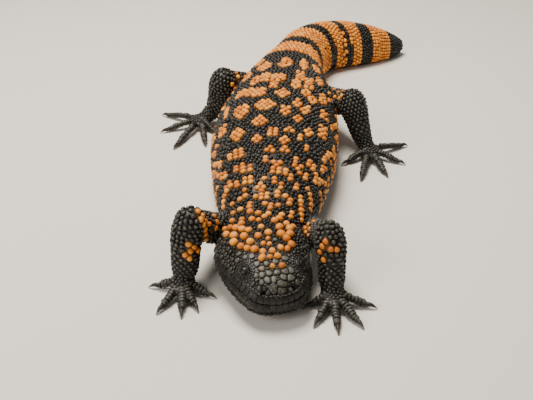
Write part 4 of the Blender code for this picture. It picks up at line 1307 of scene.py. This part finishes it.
def mixed(nodes, links, share, first, second):
    node = nodes.new("ShaderNodeMix")
    node.data_type = "RGBA"
    colours = [socket for socket in node.inputs if socket.type == "RGBA"]
    for socket, value in ((node.inputs["Factor"], share), *zip(colours, (first, second))):
        if isinstance(value, bpy.types.NodeSocket):
            links.new(value, socket)
        elif isinstance(value, tuple):
            socket.default_value = (*value, 1)
        else:
            socket.default_value = value
    return next(socket for socket in node.outputs if socket.type == "RGBA")


hide = {
    "dark": [(0.0, (0.005, 0.004, 0.003)), (0.55, (0.011, 0.010, 0.008)), (1.0, (0.028, 0.028, 0.027))],
    "orange": [(0.0, (0.52, 0.145, 0.012)), (0.5, (0.76, 0.255, 0.022)), (1.0, (0.92, 0.380, 0.050))],
    # the grey of the plates, and a painted highlight on the tops of the dark, leg and toe beads
    "grey": [(0.0, (0.030, 0.027, 0.020)), (0.5, (0.082, 0.076, 0.060)), (1.0, (0.200, 0.190, 0.160))],
    "brown": [(0.0, (0.004, 0.003, 0.002)), (0.5, (0.007, 0.006, 0.004)), (1.0, (0.017, 0.014, 0.010))],
    # painted shade: the near-black the beads take on at their bases, in the creases between them
    "between": (0.007, 0.005, 0.004),
    "roughness": (0.34, 0.56), "specular": 0.33, "coat": 0.03, "coatRoughness": 0.3,
    "mottle": 420, "grain": 1100, "grainDepth": 0.09,
    # edge: the rise range and share of that painted shade; top: the rise range where the grey shows on the
    # beads' tops, partly painted highlight
    "edge": (0.0, 0.55, 0.85), "top": (0.45, 1.0, 0.0, 1.0),
}


def hideMaterial(name, isSkin):
    material, nodes, links, shader = newMaterial(name)
    place = nodes.new("ShaderNodeTexCoord").outputs["Object"]
    mottle = noiseOf(nodes, links, place, hide["mottle"], 3)
    grain = noiseOf(nodes, links, place, hide["grain"], 5)
    stir = nodes.new("ShaderNodeMath")
    stir.operation = "MULTIPLY_ADD"
    links.new(mottle, stir.inputs[0])
    stir.inputs[1].default_value = 0.8
    links.new(attributeOf(nodes, "tone"), stir.inputs[2])
    level = fitted(nodes, links, stir.outputs[0], 0.4, 1.4, 0, 1)
    # the grey plates are finely crackled, so theirs is the grain's own ramp
    crackle = nodes.new("ShaderNodeMath")
    crackle.operation = "MULTIPLY_ADD"
    links.new(grain, crackle.inputs[0])
    crackle.inputs[1].default_value = 2.6
    crackle.inputs[2].default_value = -0.9
    colour = ramp(nodes, links, level, hide["dark"])
    brown = ramp(nodes, links, level, hide["brown"])
    colour = mixed(nodes, links, attributeOf(nodes, "brown"), colour, brown)
    grey = ramp(nodes, links, crackle.outputs[0], hide["grey"])
    # the paler grey shows on the tops of the beads: the plates' own colour, and a painted highlight on the
    # dark, leg and toe beads
    rise = attributeOf(nodes, "rise")
    greyAndHighlightOnTop = nodes.new("ShaderNodeMath")
    greyAndHighlightOnTop.operation = "MULTIPLY"
    links.new(fitted(nodes, links, rise, *hide["top"]), greyAndHighlightOnTop.inputs[0])
    links.new(attributeOf(nodes, "grey"), greyAndHighlightOnTop.inputs[1])
    colour = mixed(nodes, links, greyAndHighlightOnTop.outputs[0], colour, grey)
    orange = ramp(nodes, links, level, hide["orange"])
    colour = mixed(nodes, links, attributeOf(nodes, "orange"), colour, orange)
    # painted shade: the beads darken towards their bases, in the creases between them
    if not isSkin:
        low, high, share = hide["edge"]
        edge = fitted(nodes, links, rise, low, high, share, 0)
        colour = mixed(nodes, links, edge, colour, hide["between"])
    links.new(colour, shader.inputs["Base Color"])
    bump = nodes.new("ShaderNodeBump")
    bump.inputs["Strength"].default_value = 0.4
    bump.inputs["Distance"].default_value = hide["grainDepth"] * mm
    links.new(grain, bump.inputs["Height"])
    links.new(bump.outputs["Normal"], shader.inputs["Normal"])
    links.new(fitted(nodes, links, grain, 0.3, 0.7, *hide["roughness"]), shader.inputs["Roughness"])
    shader.inputs["Specular IOR Level"].default_value = hide["specular"]
    shader.inputs["Coat Weight"].default_value = hide["coat"]
    shader.inputs["Coat Roughness"].default_value = hide["coatRoughness"]
    return material


beadFinish = hideMaterial("beaded hide", False)
skinFinish = hideMaterial("skin between the beads", True)

coatPieces = []
for number, name in enumerate(coats):
    pick = np.where(beads["coat"] == number)[0]
    coatPieces.append(buildCoat("beads_" + name, pick, beadFinish))

# The skin's markings are those of the nearest bead, made darker between the beads as painted shade
tree = pointTree(spots)
nearest = np.array([tree.find(place)[1] for place in co])
# painted shade: the skin in the gaps keeps only a fifth of the orange and a low tone
markingsAndShade = {"orange": beads["orange"][nearest] * 0.2, "tone": np.full(len(co), 0.1),
            "grey": np.zeros(len(co)), "brown": brownShare[nearest] * 0.3}
for label, values in markingsAndShade.items():
    addAttribute(skin.data, label, values)
skin.data.materials.clear()
skin.data.materials.append(skinFinish)
print("markings on the skin")

# Eyes: dark balls behind the lids
eyeLook = {
    "stops": [(0.0, (0.002, 0.002, 0.002)), (0.30, (0.002, 0.002, 0.002)),
              (0.36, (0.016, 0.009, 0.005)), (0.8, (0.009, 0.005, 0.003)),
              (1.0, (0.004, 0.003, 0.002))],
    "roughness": 0.4, "specular": 0.3,
}
eyeFinish, nodes, links, shader = newMaterial("eye")
colour = ramp(nodes, links, attributeOf(nodes, "fromPupil"), eyeLook["stops"])
links.new(colour, shader.inputs["Base Color"])
shader.inputs["Roughness"].default_value = eyeLook["roughness"]
shader.inputs["Specular IOR Level"].default_value = eyeLook["specular"]
for node, eye in eyes.items():
    bm = bmesh.new()
    turn = Matrix((eye["forward"], eye["up"], eye["out"])).transposed().to_4x4()
    if turn.determinant() < 0:
        turn = turn @ Matrix.Diagonal((-1, 1, 1, 1))
    bmesh.ops.create_uvsphere(
        bm, u_segments=40, v_segments=28, radius=(eye["radius"] - 0.02) * mm,
        matrix=Matrix.Translation(Vector(eye["centre"]) * mm) @ turn,
    )
    ball = newObject("eyeball_" + node[4:], meshFrom(bm, node + "_ball"))
    offset = readVectors(ball.data.vertices, "co") / mm - eye["centre"]
    aside = np.hypot(offset @ eye["forward"], offset @ eye["up"]) / eye["radius"]
    addAttribute(ball.data, "fromPupil", np.where(offset @ eye["out"] > 0, aside, 1))
    ball.data.shade_smooth()
    ball.data.materials.append(eyeFinish)
    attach(ball, "root")
    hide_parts(node)

# Claws: curved horn, dark with a paler tip
clawShape = {
    "rootRadius": 1.35, "sides": 14, "rings": 16, "inside": 1.0,
    "rows": [(0, 1.0, 1.0), (0.15, 1.06, 0.98), (0.4, 1.14, 0.82), (0.7, 0.8, 0.5), (1.0, 0.14, 0.08)],
    "stops": [(0.15, (0.016, 0.013, 0.010)), (0.65, (0.034, 0.028, 0.022)), (1.0, (0.085, 0.074, 0.060))],
    "roughness": 0.45, "specular": 0.3,
}
clawFinish, nodes, links, shader = newMaterial("claw horn")
place = nodes.new("ShaderNodeTexCoord").outputs["Object"]
stir = nodes.new("ShaderNodeMath")
stir.operation = "MULTIPLY_ADD"
links.new(noiseOf(nodes, links, place, 700, 2), stir.inputs[0])
stir.inputs[1].default_value = 0.3
links.new(attributeOf(nodes, "toTip"), stir.inputs[2])
links.new(ramp(nodes, links, stir.outputs[0], clawShape["stops"]), shader.inputs["Base Color"])
shader.inputs["Roughness"].default_value = clawShape["roughness"]
shader.inputs["Specular IOR Level"].default_value = clawShape["specular"]
for leg in legs.values():
    foot = leg["nodes"][2]
    for number, tip in enumerate(leg["tips"], 1):
        palm, tip = np.array(leg["palm"], float), np.array(tip, float)
        reach = np.linalg.norm(tip - palm)
        out = unit(tip - palm)
        length = leg["claw"] + clawShape["inside"]
        guide = [(*(palm + out * (reach - length * (1 - share))), toe["endZ"] * height,
                  clawShape["rootRadius"] * radius) for share, height, radius in clawShape["rows"]]
        bm = bmesh.new()
        rings = tubeRings(guide, np.linspace(0, 1, clawShape["rings"]), clawShape["sides"])
        addLoft(bm, [ring * mm for ring in rings])
        claw = newObject(f"horn_{foot}_{number}", meshFrom(bm, "claw"))
        points = readVectors(claw.data.vertices, "co") / mm
        ahead = (points[:, :2] - palm) @ out - (reach - leg["claw"])
        addAttribute(claw.data, "toTip", np.clip(ahead / leg["claw"], 0, 1))
        claw.data.shade_smooth()
        claw.data.materials.append(clawFinish)
        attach(claw, "root")
        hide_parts(f"claw_{foot}_{number}")
print("eyes and claws made")

# How the skin and the coats ride, and what the skin stands for
flesh = ["head", "neck", "torso_front", "torso_rear", "tail_base", "tail_middle", "tail_tip"]
for leg in legs.values():
    flesh += leg["nodes"]
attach(skin, "root")
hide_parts(*flesh)
for piece in coatPieces:
    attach(piece, "root")

# Floor, light and camera
studio = {
    "floor": (0.80, 0.76, 0.70), "world": (0.86, 0.84, 0.80), "worldStrength": 0.26,
    "key": {"place": (-0.15, 0.20, 0.90), "size": 0.40, "power": 15, "colour": (1.0, 0.93, 0.82)},
    "fill": {"place": (-0.60, -0.60, 0.50), "size": 0.5, "power": 5, "colour": (1.0, 0.95, 0.88)},
}
bm = bmesh.new()
bmesh.ops.create_grid(bm, x_segments=2, y_segments=2, size=3)
floor = newObject("floor", meshFrom(bm, "floor"))
material, nodes, links, shader = newMaterial("floor")
shader.inputs["Base Color"].default_value = (*studio["floor"], 1)
shader.inputs["Roughness"].default_value = 0.8
floor.data.materials.append(material)
floor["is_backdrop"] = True

world = bpy.data.worlds.new("studio")
bpy.context.scene.world = world
world.use_nodes = True
background = world.node_tree.nodes["Background"]
background.inputs["Color"].default_value = (*studio["world"], 1)
background.inputs["Strength"].default_value = studio["worldStrength"]
for name in ("key", "fill"):
    lamp = studio[name]
    data = bpy.data.lights.new(name, "AREA")
    data.size = lamp["size"]
    data.energy = lamp["power"]
    data.color = lamp["colour"]
    light = newObject(name, data)
    light.location = lamp["place"]
    light.rotation_euler = (-light.location).to_track_quat("-Z", "Y").to_euler()

cameraData = bpy.data.cameras.new("camera")
cameraData.lens = view["lens"]
cameraData.sensor_width = view["sensor"]
cameraData.clip_start = 0.01
camera = newObject("camera", cameraData)
camera.location = Vector(view["place"]) * mm
camera.rotation_euler = (math.radians(90 - view["pitchDown"]), 0, 0)
bpy.context.scene.camera = camera
print("studio set")

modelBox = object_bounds()
sizes = {"cad": [list(corner) for corner in cadBox],
         "visual": [list(corner) for corner in modelBox]}
